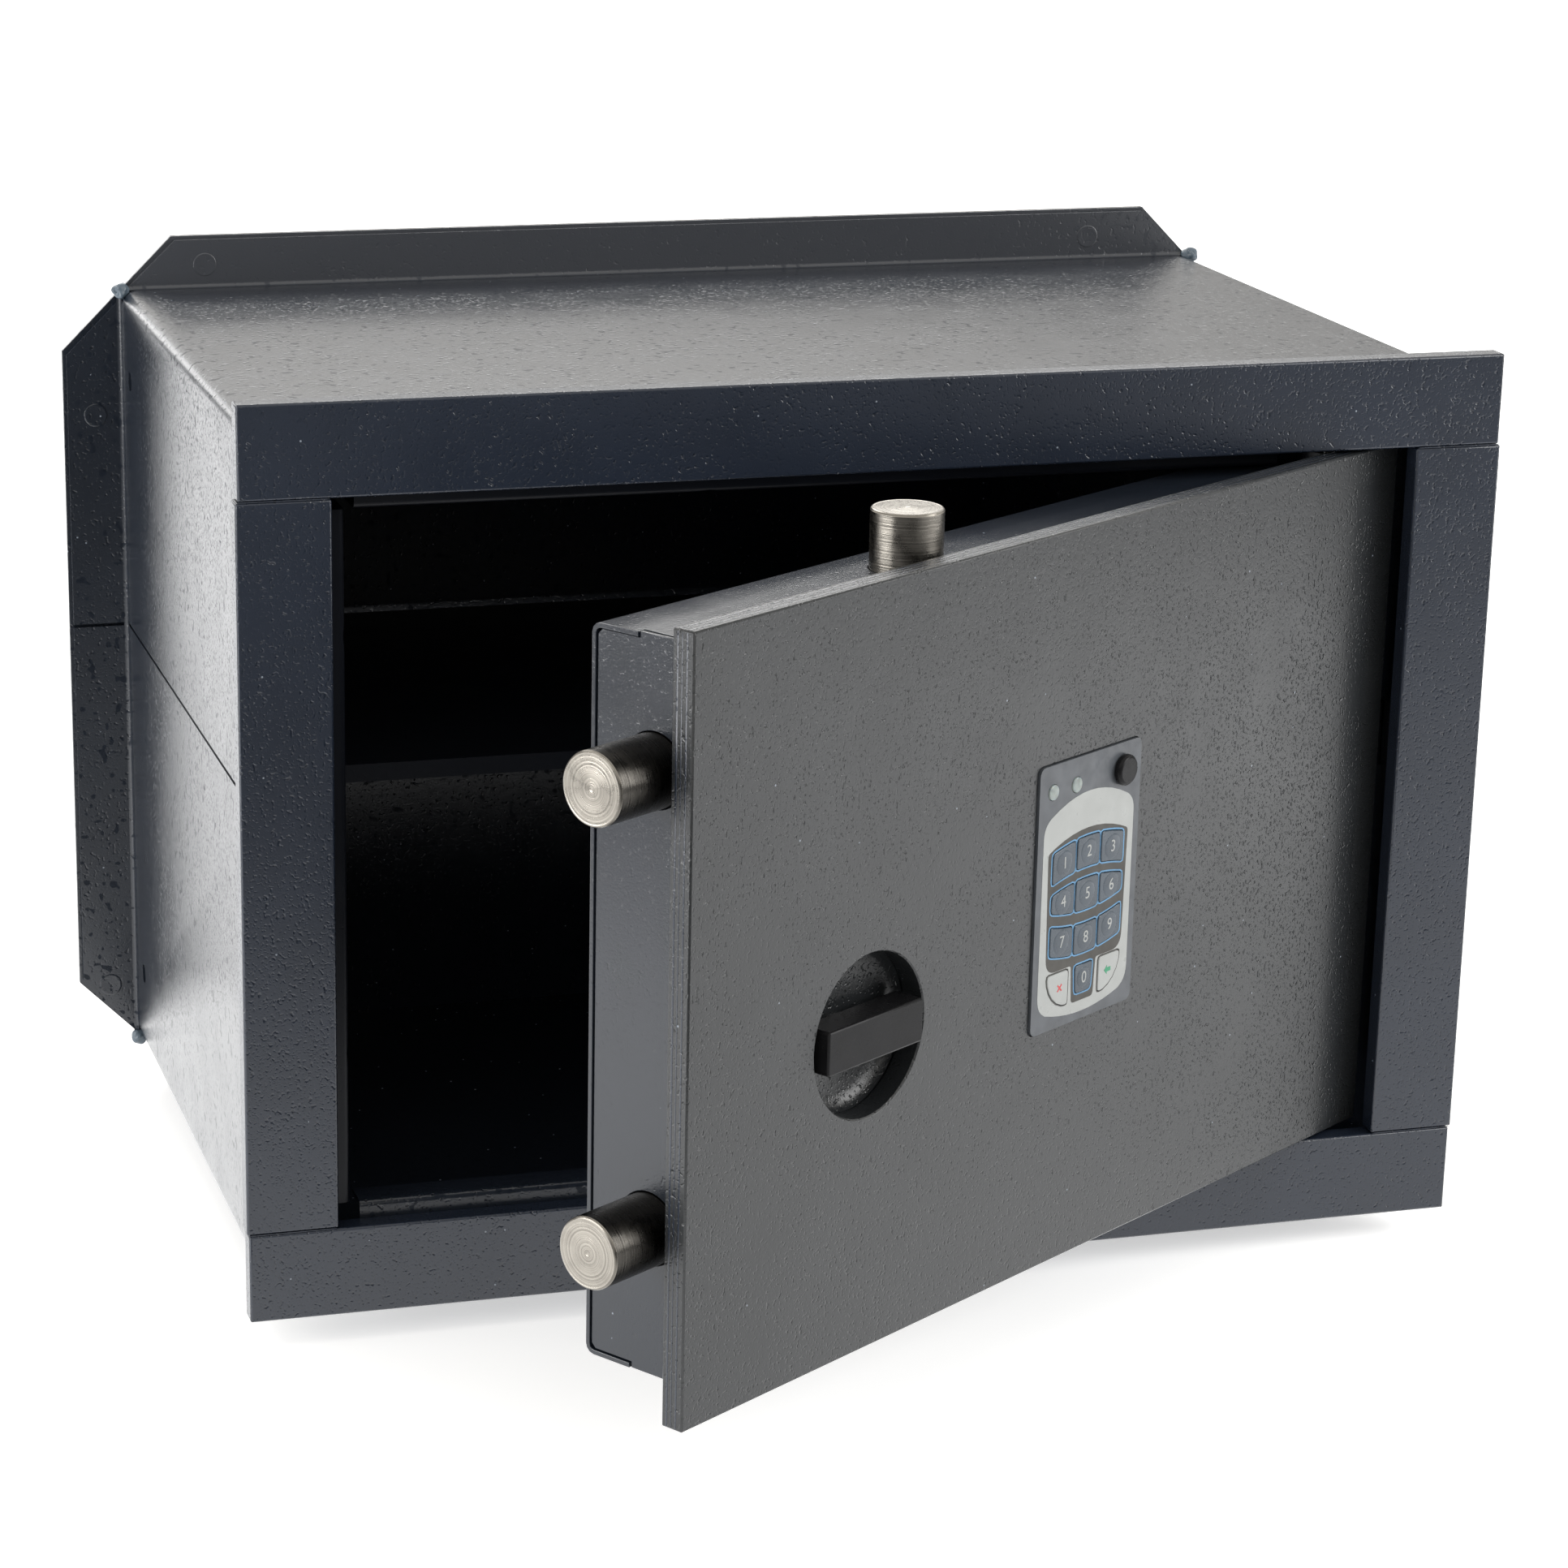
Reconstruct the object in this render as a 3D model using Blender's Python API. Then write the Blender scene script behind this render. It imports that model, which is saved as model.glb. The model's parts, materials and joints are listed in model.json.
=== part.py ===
"""Wall safe with an electronic lock: welded body, hinged door, three bolts driven by one knob.

World frame: +X right and +Z up as seen from the front, +Y into the wall, metres.
The origin is the middle of the back panel's rear face.
Inside this file places are given in the front frame: x from the middle, y inwards from the
frame's front face, z from mid height.  Door pieces are given as they lie when the door is
closed, and an empty on the hinge axis swings them open.
"""

from math import acos, cos, pi, radians, sin, sqrt

import bmesh
import bpy
from mathutils import Vector

MM = 0.001

# Driving dimensions.
FRAME_WIDTH = 420 * MM
FRAME_HEIGHT = 300 * MM
BAR_WIDTH = 30 * MM
BAR_THICKNESS = 8 * MM
SIDE_BAR_OVERHANG = 0.7 * MM
TOTAL_DEPTH = 262 * MM
BODY_WIDTH = 409 * MM
BODY_HEIGHT = 281.6 * MM
SHEET = 2 * MM
SEAM_HEIGHT = 18.5 * MM
DOOR_WIDTH = 355.4 * MM
DOOR_HEIGHT = 238 * MM
DOOR_THICKNESS = 8 * MM
DOOR_OPEN_ANGLE = radians(33)
HINGE_X = 155 * MM
HINGE_DEPTH = 12.5 * MM
BOLT_RADIUS = 11 * MM
BOLT_LENGTH = 57 * MM
BOLT_DEPTH = 21.2 * MM
LEFT_BOLT_TRAVEL = 22 * MM
TOP_BOLT_TRAVEL = 18 * MM
KNOB_X = -95.5 * MM
KNOB_Z = -18.4 * MM
RECESS_RADIUS = 25.5 * MM
KEYPAD_X = 10 * MM
KEYPAD_Z = 3.6 * MM

# Clearance left between neighbouring pieces.
GAP = 0.3 * MM
# Play that lets a part slide or turn freely.
PLAY = 0.8 * MM

# Body details.
BEND_RADIUS = 5 * MM
SEAM_GAP = 1.2 * MM
FLANGE_FRONT = 257.5 * MM
FLANGE_HALF_WIDTH = 224.5 * MM
FLANGE_HALF_HEIGHT = 158 * MM
FLANGE_CORNER = 40 * MM
BACK_PANEL_MARGIN = 1.2 * MM
BACK_PANEL_THICKNESS = 2.2 * MM
ANCHOR_HOLE_RADIUS = 3.5 * MM
ANCHOR_HOLE_DEPTH = 241 * MM
ANCHOR_HOLE_HEIGHT = 111 * MM
KEEPER_REACH = 5.5 * MM
KEEPER_SHEET = 1.5 * MM
KEEPER_DEPTH = 36 * MM
SILL_DEPTH = 20 * MM
KEEPER_RIGHT_END = 135 * MM
KEEPER_HOLE_RADIUS = 12.3 * MM
STRIP_HEIGHT = 24 * MM
SHELF_FRONT = 57 * MM
SHELF_LIP = 6 * MM
SHELF_SHEET = 1.5 * MM
SHELF_END_GAP = 3 * MM
KEEPER_BEND = 2 * MM
KEEPER_END_INSET = 3 * MM
BROKEN_EDGE = 0.5 * MM

# Hinge details.
HINGE_PIN_RADIUS = 3 * MM
HINGE_HOLE_RADIUS = 3.3 * MM
LUG_THICKNESS = 5 * MM
LUG_HALF_LENGTH = 9 * MM
LUG_BACK = 19 * MM
BRACKET_THICKNESS = 6 * MM
BRACKET_HALF_LENGTH = 15 * MM
BRACKET_BACK = 24 * MM
LUG_CORNER = 2 * MM

# Lock case behind the door plate.
CASE_LEFT = -170 * MM
CASE_RIGHT = 171 * MM
CASE_HALF_HEIGHT = 111 * MM
CASE_CENTRE_Z = 2 * MM
CASE_BACK = 44.5 * MM
CASE_SHEET = 1.5 * MM
CASE_BEND = 3 * MM
CHASSIS_SHEET = 1.3 * MM
TAB_FRONT = 14 * MM
TAB_BACK = 27 * MM
TAB_NOTCH = 3 * MM
SCREW_X = 60 * MM
SCREW_INSET = 12 * MM
SCREW_HEAD_RADIUS = 4 * MM
SCREW_HEAD_SIDE = 1.2 * MM
SCREW_HEAD_HEIGHT = 2.2 * MM

# Lock works: depths from the frame's front face.
LEFT_BOLT_TIP = -195.5 * MM
UPPER_BOLT_Z = 74 * MM
LOWER_BOLT_Z = -63.6 * MM
TOP_BOLT_TIP = 131.3 * MM
TOP_BOLT_X = -58 * MM
PLATE_STOCK = 2.5 * MM
LINK_DEPTH = 22.2 * MM
DISC_DEPTH = 27 * MM
DISC_THICKNESS = 4 * MM
DISC_RADIUS = 17.8 * MM
CARRIAGE_DEPTH = 32.7 * MM
PIN_RADIUS = 2.5 * MM
SPINDLE_RADIUS = 4 * MM
GRIP_PROUD = 2.5 * MM
GRIP_LENGTH = 44.4 * MM
GRIP_HEIGHT = 13.8 * MM
RECESS_DEPTH = 12 * MM
CUP_WALL = 1.5 * MM
CUP_BOWL = 9 * MM
GRIP_CORNER = 0.8 * MM
BOLT_CHAMFER = 0.8 * MM
GUIDE_MARGIN = 5 * MM
GUIDE_THICKNESS = 3 * MM
GUIDE_FROM_ROOT = 16 * MM
SLOT_PLAY = 0.2 * MM
SPINDLE_PLAY = 0.2 * MM
CARRIAGE_FRONT = 14 * MM
CARRIAGE_MARGIN = 12 * MM
TOOTH_WIDTH = 6 * MM
TOOTH_HEIGHT = 6 * MM
TOOTH_PLAY = 0.5 * MM
LINK_FOOT_HALF_WIDTH = 9 * MM
LINK_FOOT_FRONT = 13 * MM
LINK_FOOT_BACK = 31 * MM
LINK_STRIP_HALF_WIDTH = 6 * MM
JAW_WIDTH = 4 * MM
CLIP_WIDTH = 2.5 * MM
CLIP_THICKNESS = 0.8 * MM
SOLENOID_X = -104 * MM
SOLENOID_DEPTH = 34 * MM
SOLENOID_HALF_WIDTH = 8 * MM
SOLENOID_LENGTH = 30 * MM
PLUNGER_RADIUS = 3 * MM
PLUNGER_PROUD = 4 * MM
PLUNGER_TOP = 3 * MM
PLUNGER_CHAMFER = 0.5 * MM

# Keypad details, seen from the front.
KEYPAD_WIDTH = 52.8 * MM
KEYPAD_HEIGHT = 86.4 * MM
KEYPAD_THICKNESS = 1.8 * MM
KEYPAD_SINK = 1.0 * MM
KEYPAD_CORNER = 2.5 * MM
CABLE_HOLE_RADIUS = 6 * MM
CHASSIS_CABLE_HOLE_RADIUS = 7 * MM
KEY_PITCH = 12.6 * MM
KEY_WELL = 1.4 * MM
KEY_PROUD = 0.4 * MM
KEY_HEIGHT = 1.2 * MM
KEY_ROW_CURVE = 7.0
KEY_CORNER = 1.2 * MM
KEY_WELL_SHRINK = 0.25 * MM
KEY_SHRINK = 0.45 * MM
LAMP_Z = 34.5 * MM
LAMP_XS = (-19.4 * MM, -7.4 * MM)
LAMP_RADIUS = 2.5 * MM
LAMP_TOP_RADIUS = 1.75 * MM
LAMP_STEM = 0.6 * MM
LAMP_SIDE = 0.3 * MM
LAMP_HEIGHT = 0.6 * MM
CAP_X = 16.8 * MM
CAP_RADIUS = 5 * MM
CAP_STEM_RADIUS = 3 * MM
CAP_STEM = 1.2 * MM
CAP_SIDE = 1.8 * MM
CAP_CHAMFER = 0.8 * MM
BOARD_HALF_WIDTH = 30 * MM
BOARD_HALF_HEIGHT = 35 * MM
BOARD_STANDOFF = 4 * MM
BOARD_THICKNESS = 1.6 * MM
BOARD_CORNER = 2 * MM
PACK_EDGE = 1 * MM
ARM_MARGIN_LOW = 2 * MM
ARM_MARGIN_HIGH = 3 * MM
# For each row of number keys: top and bottom edge at the middle, and which way each edge bends.
KEY_ROWS = ((17.2 * MM, 6.4 * MM, -1, -1), (3.6 * MM, -7.6 * MM, -1, 1), (-11.2 * MM, -21.6 * MM, 1, 1))

# Battery compartment on the back of the door.
BATTERY_X = 100 * MM
BATTERY_Z = -62 * MM
BATTERY_LENGTH = 84 * MM
BATTERY_HEIGHT = 34 * MM
LID_THICKNESS = 2 * MM
LID_OVERLAP = 4 * MM
BATTERY_WALL = 1.5 * MM
BATTERY_FRONT = 20 * MM

ROUND = 48
SMALL_ROUND = 24


def clear_scene():
    """Start from an empty scene."""
    for old in list(bpy.data.objects):
        bpy.data.objects.remove(old, do_unlink=True)


def make_material(name, colour, roughness, metallic):
    """A Principled material with one colour."""
    material = bpy.data.materials.new(name)
    material.use_nodes = True
    shader = material.node_tree.nodes["Principled BSDF"]
    shader.inputs["Base Color"].default_value = (*colour, 1)
    shader.inputs["Roughness"].default_value = roughness
    shader.inputs["Metallic"].default_value = metallic
    return material


def make_materials():
    """Every material of the safe, by short name."""
    return {
        "paint": make_material("anthracite_paint", (0.055, 0.06, 0.07), 0.38, 0.0),
        "bolt": make_material("nickel_bolt", (0.72, 0.68, 0.6), 0.25, 1.0),
        "zinc": make_material("zinc_plated_steel", (0.6, 0.6, 0.58), 0.4, 1.0),
        "black": make_material("black_plastic", (0.02, 0.02, 0.022), 0.3, 0.0),
        "grey": make_material("keypad_grey", (0.16, 0.17, 0.2), 0.4, 0.0),
        "key": make_material("key_blue_grey", (0.06, 0.075, 0.095), 0.35, 0.0),
        "white_key": make_material("key_white", (0.75, 0.75, 0.73), 0.4, 0.0),
        "lens": make_material("led_lens", (0.6, 0.6, 0.58), 0.3, 0.0),
        "board": make_material("circuit_board_green", (0.02, 0.16, 0.06), 0.5, 0.0),
        "battery": make_material("battery_wrap", (0.05, 0.05, 0.06), 0.35, 0.0),
        "bronze": make_material("solenoid_frame", (0.5, 0.42, 0.2), 0.4, 1.0),
    }


def add_empty(name, parent, location, turn_z=0.0):
    """An empty that carries pieces."""
    empty = bpy.data.objects.new(name, None)
    bpy.context.collection.objects.link(empty)
    empty.parent = parent
    empty.location = location
    empty.rotation_euler = (0, 0, turn_z)
    return empty


def add_piece(name, bm, material, parent, smooth=False):
    """Turn a bmesh into a named object with its own material."""
    bmesh.ops.recalc_face_normals(bm, faces=bm.faces)
    mesh = bpy.data.meshes.new(name)
    bm.to_mesh(mesh)
    bm.free()
    if smooth:
        mesh.shade_smooth()
        mesh.set_sharp_from_angle(angle=radians(35))
    mesh.materials.append(material)
    piece = bpy.data.objects.new(name, mesh)
    bpy.context.collection.objects.link(piece)
    piece.parent = parent
    return piece


def arc(centre, radius, start, end, steps):
    """Points along an arc, angles in degrees, both ends included."""
    angles = [radians(start + (end - start) * i / steps) for i in range(steps + 1)]
    return [(centre[0] + radius * cos(a), centre[1] + radius * sin(a)) for a in angles]


def circle(centre, radius, steps=SMALL_ROUND):
    """Points around a full circle."""
    return arc(centre, radius, 0, 360 - 360 / steps, steps - 1)


def rectangle(low, high):
    """The four corners of an upright rectangle."""
    return [(low[0], low[1]), (high[0], low[1]), (high[0], high[1]), (low[0], high[1])]


def rounded_rectangle(low, high, radius, steps=4):
    """A rectangle with round corners."""
    left, bottom, right, top = low[0] + radius, low[1] + radius, high[0] - radius, high[1] - radius
    corners = (((right, top), 0), ((left, top), 90), ((left, bottom), 180), ((right, bottom), 270))
    return [p for centre, a in corners for p in arc(centre, radius, a, a + 90, steps)]


def place(plane, point, height):
    """Lift a flat point into space: the plane's two axes, then the height along the third."""
    a, b = point
    return {"XZ": (a, height, b), "XY": (a, b, height), "YZ": (height, a, b)}[plane]


def slab_mesh(plane, outline, low, high, holes=()):
    """A flat outline with holes, given a thickness from low to high."""
    bm = bmesh.new()
    edges = []
    for loop in (outline, *holes):
        verts = [bm.verts.new(place(plane, p, low)) for p in loop]
        edges += [bm.edges.new((verts[i - 1], verts[i])) for i in range(len(verts))]
    if holes:
        bmesh.ops.triangle_fill(bm, edges=edges, use_beauty=True)
    else:
        bm.faces.new(bm.verts)
    raised = bmesh.ops.extrude_face_region(bm, geom=bm.faces[:])["geom"]
    top = [v for v in raised if isinstance(v, bmesh.types.BMVert)]
    shift = Vector(place(plane, (0, 0), high - low))
    bmesh.ops.translate(bm, verts=top, vec=shift)
    return bm


def slab(name, plane, outline, low, high, material, parent, holes=(), bevel=0.0):
    """A plate with any outline and holes, optionally with broken edges."""
    bm = slab_mesh(plane, outline, low, high, holes)
    if bevel:
        bmesh.ops.recalc_face_normals(bm, faces=bm.faces)
        sharp = [e for e in bm.edges if e.calc_face_angle(0) > radians(30)]
        bmesh.ops.bevel(bm, geom=sharp, offset=bevel, segments=1, affect="EDGES", clamp_overlap=True)
    return add_piece(name, bm, material, parent)


def block(name, low, high, material, parent, bevel=0.0):
    """A box between two corners."""
    outline = rectangle(low[:2], high[:2])
    return slab(name, "XY", outline, low[2], high[2], material, parent, bevel=bevel)


def turned_mesh(profile, steps, closed=False):
    """Revolve (radius, height) points about Z; a closed profile makes a ring."""
    bm = bmesh.new()
    turns = [2 * pi * i / steps for i in range(steps)]
    rings = [[bm.verts.new((r * cos(t), r * sin(t), h)) for t in turns] for r, h in profile]
    pairs = list(zip(rings, rings[1:]))
    if closed:
        pairs.append((rings[-1], rings[0]))
    else:
        bm.faces.new(rings[0])
        bm.faces.new(rings[-1])
    for low, high in pairs:
        for i in range(steps):
            bm.faces.new((low[i - 1], low[i], high[i], high[i - 1]))
    return bm


def turned(name, profile, axis, location, material, parent, steps=ROUND, closed=False):
    """A turned piece whose own Z points along the given axis."""
    piece = add_piece(name, turned_mesh(profile, steps, closed), material, parent, smooth=True)
    piece.rotation_euler = Vector((0, 0, 1)).rotation_difference(Vector(axis)).to_euler()
    piece.location = location
    return piece


def combine(target, tools, operation):
    """Join or cut a piece with helper solids, then drop the helpers."""
    for tool in tools:
        modifier = target.modifiers.new(operation.lower(), "BOOLEAN")
        modifier.operation = operation
        modifier.object = tool
        bpy.context.view_layer.update()
        evaluated = target.evaluated_get(bpy.context.evaluated_depsgraph_get())
        baked = bpy.data.meshes.new_from_object(evaluated)
        target.modifiers.clear()
        target.data = baked
        bpy.data.objects.remove(tool, do_unlink=True)
    return target


def rod_tool(axis, location, radius, length, material, parent, steps=SMALL_ROUND):
    """A helper cylinder centred on a place, for cutting or joining."""
    profile = [(radius, -length / 2), (radius, length / 2)]
    return turned("tool", profile, axis, location, material, parent, steps)


def folded_strip(path, thickness):
    """The closed outline of a sheet that follows a path, thickness laid to its right."""
    points = [Vector(p) for p in path]
    inner = []
    for i, point in enumerate(points):
        before = (point - points[i - 1]).normalized() if i else None
        after = (points[i + 1] - point).normalized() if i + 1 < len(points) else None
        along = [d for d in (before, after) if d is not None]
        mean = sum(along, Vector((0, 0))).normalized()
        reach = thickness / max(mean.dot(along[0]), 0.2)
        inner.append(point + Vector((mean.y, -mean.x)) * reach)
    return [tuple(p) for p in points] + [tuple(p) for p in reversed(inner)]


def shell(name, side, seam, material, parent):
    """Half of the body: a folded sheet with its rear flanges, side is +1 above and -1 below."""
    half_width = BODY_WIDTH / 2
    outer = side * BODY_HEIGHT / 2
    left = arc((-half_width + BEND_RADIUS, outer - side * BEND_RADIUS), BEND_RADIUS, 180, 180 - side * 90, 4)
    right = [(-x, z) for x, z in reversed(left)]
    path = [(-half_width, seam), *left, *right, (half_width, seam)]
    if side < 0:
        path.reverse()
    front = BAR_THICKNESS + GAP
    back = FLANGE_FRONT + SHEET
    piece = slab(name, "XZ", folded_strip(path, SHEET), front, back, material, parent)
    flanges = []
    inset = SHEET / 2
    edge = side * FLANGE_HALF_HEIGHT
    fold = outer - side * inset
    corner = FLANGE_HALF_WIDTH - FLANGE_CORNER
    lying = [(-half_width + inset, fold), (half_width - inset, fold), (corner, edge), (-corner, edge)]
    flanges.append(slab("tool", "XZ", lying, FLANGE_FRONT, back, material, parent))
    for hand in (-1, 1):
        fold_x = hand * (half_width - inset)
        edge_x = hand * FLANGE_HALF_WIDTH
        end = side * (FLANGE_HALF_HEIGHT - FLANGE_CORNER)
        standing = [(fold_x, seam), (edge_x, seam), (edge_x, end), (fold_x, outer - side * SHEET)]
        flanges.append(slab("tool", "XZ", standing, FLANGE_FRONT, back, material, parent))
    combine(piece, flanges, "UNION")
    hole = (0, ANCHOR_HOLE_DEPTH, side * ANCHOR_HOLE_HEIGHT)
    drill = rod_tool((1, 0, 0), hole, ANCHOR_HOLE_RADIUS, 2 * BODY_WIDTH, material, parent, 16)
    return combine(piece, [drill], "DIFFERENCE")


def back_panel(material, parent):
    """The eight-sided rear sheet, a little larger than the flanges in front of it."""
    wide = FLANGE_HALF_WIDTH + BACK_PANEL_MARGIN
    tall = FLANGE_HALF_HEIGHT + BACK_PANEL_MARGIN
    quarter = [(wide, tall - FLANGE_CORNER), (wide - FLANGE_CORNER, tall)]
    outline = [*quarter]
    outline += [(-x, z) for x, z in reversed(quarter)]
    outline += [(-x, -z) for x, z in quarter]
    outline += [(x, -z) for x, z in reversed(quarter)]
    front = TOTAL_DEPTH - BACK_PANEL_THICKNESS
    slab("back_panel", "XZ", outline, front, TOTAL_DEPTH, material, parent)


def front_frame(material, parent):
    """Four flat bars: full-width top and bottom bars, side bars standing between them."""
    half_width = FRAME_WIDTH / 2
    half_height = FRAME_HEIGHT / 2
    inner = half_height - BAR_WIDTH
    for name, side in (("frame_top_bar", 1), ("frame_bottom_bar", -1)):
        low, high = sorted((side * inner, side * half_height))
        corners = ((-half_width, 0, low), (half_width, BAR_THICKNESS, high))
        block(name, *corners, material, parent, bevel=BROKEN_EDGE)
    for name, side in (("frame_left_bar", -1), ("frame_right_bar", 1)):
        outer = side * (half_width + SIDE_BAR_OVERHANG)
        low, high = sorted((outer, outer - side * BAR_WIDTH))
        corners = ((low, 0, GAP - inner), (high, BAR_THICKNESS, inner - GAP))
        block(name, *corners, material, parent, bevel=BROKEN_EDGE)


def keepers(material, parent):
    """Folded angles behind the bars that the door stops on and the bolts pass into."""
    front = BAR_THICKNESS + GAP
    left_edge = BAR_WIDTH - SIDE_BAR_OVERHANG - FRAME_WIDTH / 2 + KEEPER_REACH
    edge_z = FRAME_HEIGHT / 2 - BAR_WIDTH - KEEPER_REACH
    outer_x = GAP + SHEET - BODY_WIDTH / 2
    outer_z = BODY_HEIGHT / 2 - SHEET - GAP

    def angle(corner, far, depth):
        """Outline of an L: a leg behind the bar and a leg running back, with a bend between."""
        step = 1 if far > corner else -1
        bend = [(corner + step * KEEPER_BEND * (1 - sin(a)), front + KEEPER_BEND * (1 - cos(a)))
                for a in (0, pi / 6, pi / 3, pi / 2)]
        return folded_strip([(far, front), *bend, (corner, depth)], step * KEEPER_SHEET)

    left = slab("bolt_keeper_left", "XY", angle(left_edge, outer_x, KEEPER_DEPTH),
                -edge_z, edge_z, material, parent)
    drills = [rod_tool((1, 0, 0), (left_edge, BOLT_DEPTH, z), KEEPER_HOLE_RADIUS, 4 * KEEPER_SHEET,
                       material, parent) for z in (UPPER_BOLT_Z, LOWER_BOLT_Z)]
    combine(left, drills, "DIFFERENCE")
    left_end = left_edge + KEEPER_END_INSET
    top_outline = [(y, z) for z, y in angle(edge_z, outer_z, KEEPER_DEPTH)]
    top = slab("bolt_keeper_top", "YZ", top_outline, left_end, KEEPER_RIGHT_END, material, parent)
    drill = rod_tool((0, 0, 1), (TOP_BOLT_X, BOLT_DEPTH, edge_z), KEEPER_HOLE_RADIUS,
                     4 * KEEPER_SHEET, material, parent)
    combine(top, [drill], "DIFFERENCE")
    sill_outline = [(y, z) for z, y in angle(-edge_z, -outer_z, SILL_DEPTH)]
    slab("door_sill", "YZ", sill_outline, left_end, KEEPER_RIGHT_END, material, parent)


def seam_strips(material, parent):
    """Flat strips inside the side walls that cover the seam and carry the shelf."""
    reach = BODY_WIDTH / 2 - SHEET - GAP
    for name, hand in (("seam_strip_left", -1), ("seam_strip_right", 1)):
        low, high = sorted((hand * reach, hand * (reach - SHEET)))
        bottom = SEAM_HEIGHT - STRIP_HEIGHT
        corners = ((low, SHELF_FRONT + PLAY, bottom), (high, FLANGE_FRONT, SEAM_HEIGHT - SHELF_SHEET))
        block(name, *corners, material, parent)


def shelf(material, parent):
    """A sheet shelf with a turned-down front lip, resting on the seam strips."""
    underside = SEAM_HEIGHT - SHELF_SHEET + GAP
    top = underside + SHELF_SHEET
    back = FLANGE_FRONT - SHELF_END_GAP
    front = SHELF_FRONT - SHELF_SHEET
    outline = [(back, underside), (SHELF_FRONT, underside), (SHELF_FRONT, top - SHELF_LIP),
               (front, top - SHELF_LIP), (front, top), (back, top)]
    reach = BODY_WIDTH / 2 - SHEET - SHELF_END_GAP
    slab("shelf", "YZ", outline, -reach, reach, material, parent)


def hinges(zinc, paint, safe, door):
    """Upper and lower pivots: bracket and pin on the frame, lug on the door plate."""
    opening = FRAME_HEIGHT / 2 - BAR_WIDTH
    front = BAR_THICKNESS + GAP
    axis = (HINGE_X, HINGE_DEPTH)
    hole = circle(axis, HINGE_HOLE_RADIUS, SMALL_ROUND)
    for name, side in (("upper", 1), ("lower", -1)):
        bracket = rectangle((HINGE_X - BRACKET_HALF_LENGTH, front),
                            (HINGE_X + BRACKET_HALF_LENGTH, BRACKET_BACK))
        low, high = sorted((side * (opening + GAP), side * (opening + GAP + BRACKET_THICKNESS)))
        slab("hinge_bracket_" + name, "XY", bracket, low, high, paint, safe, [hole])
        lug = rounded_rectangle((HINGE_X - LUG_HALF_LENGTH, DOOR_THICKNESS + GAP),
                                (HINGE_X + LUG_HALF_LENGTH, LUG_BACK), LUG_CORNER, 3)
        face = DOOR_HEIGHT / 2 - 2 * GAP
        low, high = sorted((side * face, side * (face - LUG_THICKNESS)))
        slab("hinge_lug_" + name, "XY", lug, low, high, paint, door, [hole])
        inner_end = side * (face - LUG_THICKNESS)
        outer_end = side * (opening + GAP + BRACKET_THICKNESS + PLAY)
        turned("hinge_pin_" + name, [(HINGE_PIN_RADIUS, inner_end), (HINGE_PIN_RADIUS, outer_end)],
               (0, 0, 1), (*axis, 0), zinc, safe, SMALL_ROUND)


def door_plate(material, parent):
    """The thick front plate with the knob's recess, the keypad's pocket and its cable hole."""
    half_width = DOOR_WIDTH / 2
    half_height = DOOR_HEIGHT / 2
    outline = rectangle((-half_width, -half_height), (half_width, half_height))
    recess = circle((KNOB_X, KNOB_Z), RECESS_RADIUS, ROUND)
    cable = circle((KEYPAD_X, KEYPAD_Z), CABLE_HOLE_RADIUS, 16)
    plate = slab("door_plate", "XZ", outline, 0, DOOR_THICKNESS, material, parent, [recess, cable],
                 BROKEN_EDGE)
    pocket_half_width = KEYPAD_WIDTH / 2 + GAP
    pocket_half_height = KEYPAD_HEIGHT / 2 + GAP
    pocket = rounded_rectangle((KEYPAD_X - pocket_half_width, KEYPAD_Z - pocket_half_height),
                               (KEYPAD_X + pocket_half_width, KEYPAD_Z + pocket_half_height),
                               KEYPAD_CORNER + GAP)
    cutter = slab("tool", "XZ", pocket, -KEYPAD_SINK, KEYPAD_SINK, material, parent)
    combine(plate, [cutter], "DIFFERENCE")


def knob_cup(material, parent):
    """The dished floor of the knob's recess, behind the door plate."""
    front = DOOR_THICKNESS + GAP
    hole = SPINDLE_RADIUS + GAP
    inner = [(RECESS_RADIUS, front)]
    inner += [(RECESS_RADIUS - CUP_BOWL * (1 - cos(a)), front + (RECESS_DEPTH - front) * sin(a))
              for a in (pi / 8, pi / 4, 3 * pi / 8, pi / 2)]
    outer_radius = RECESS_RADIUS + CUP_WALL
    back = RECESS_DEPTH + CUP_WALL
    profile = [*inner, (hole, RECESS_DEPTH), (hole, back), (outer_radius, back), (outer_radius, front)]
    turned("knob_cup", profile, (0, 1, 0), (KNOB_X, 0, KNOB_Z), material, parent, closed=True)


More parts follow.
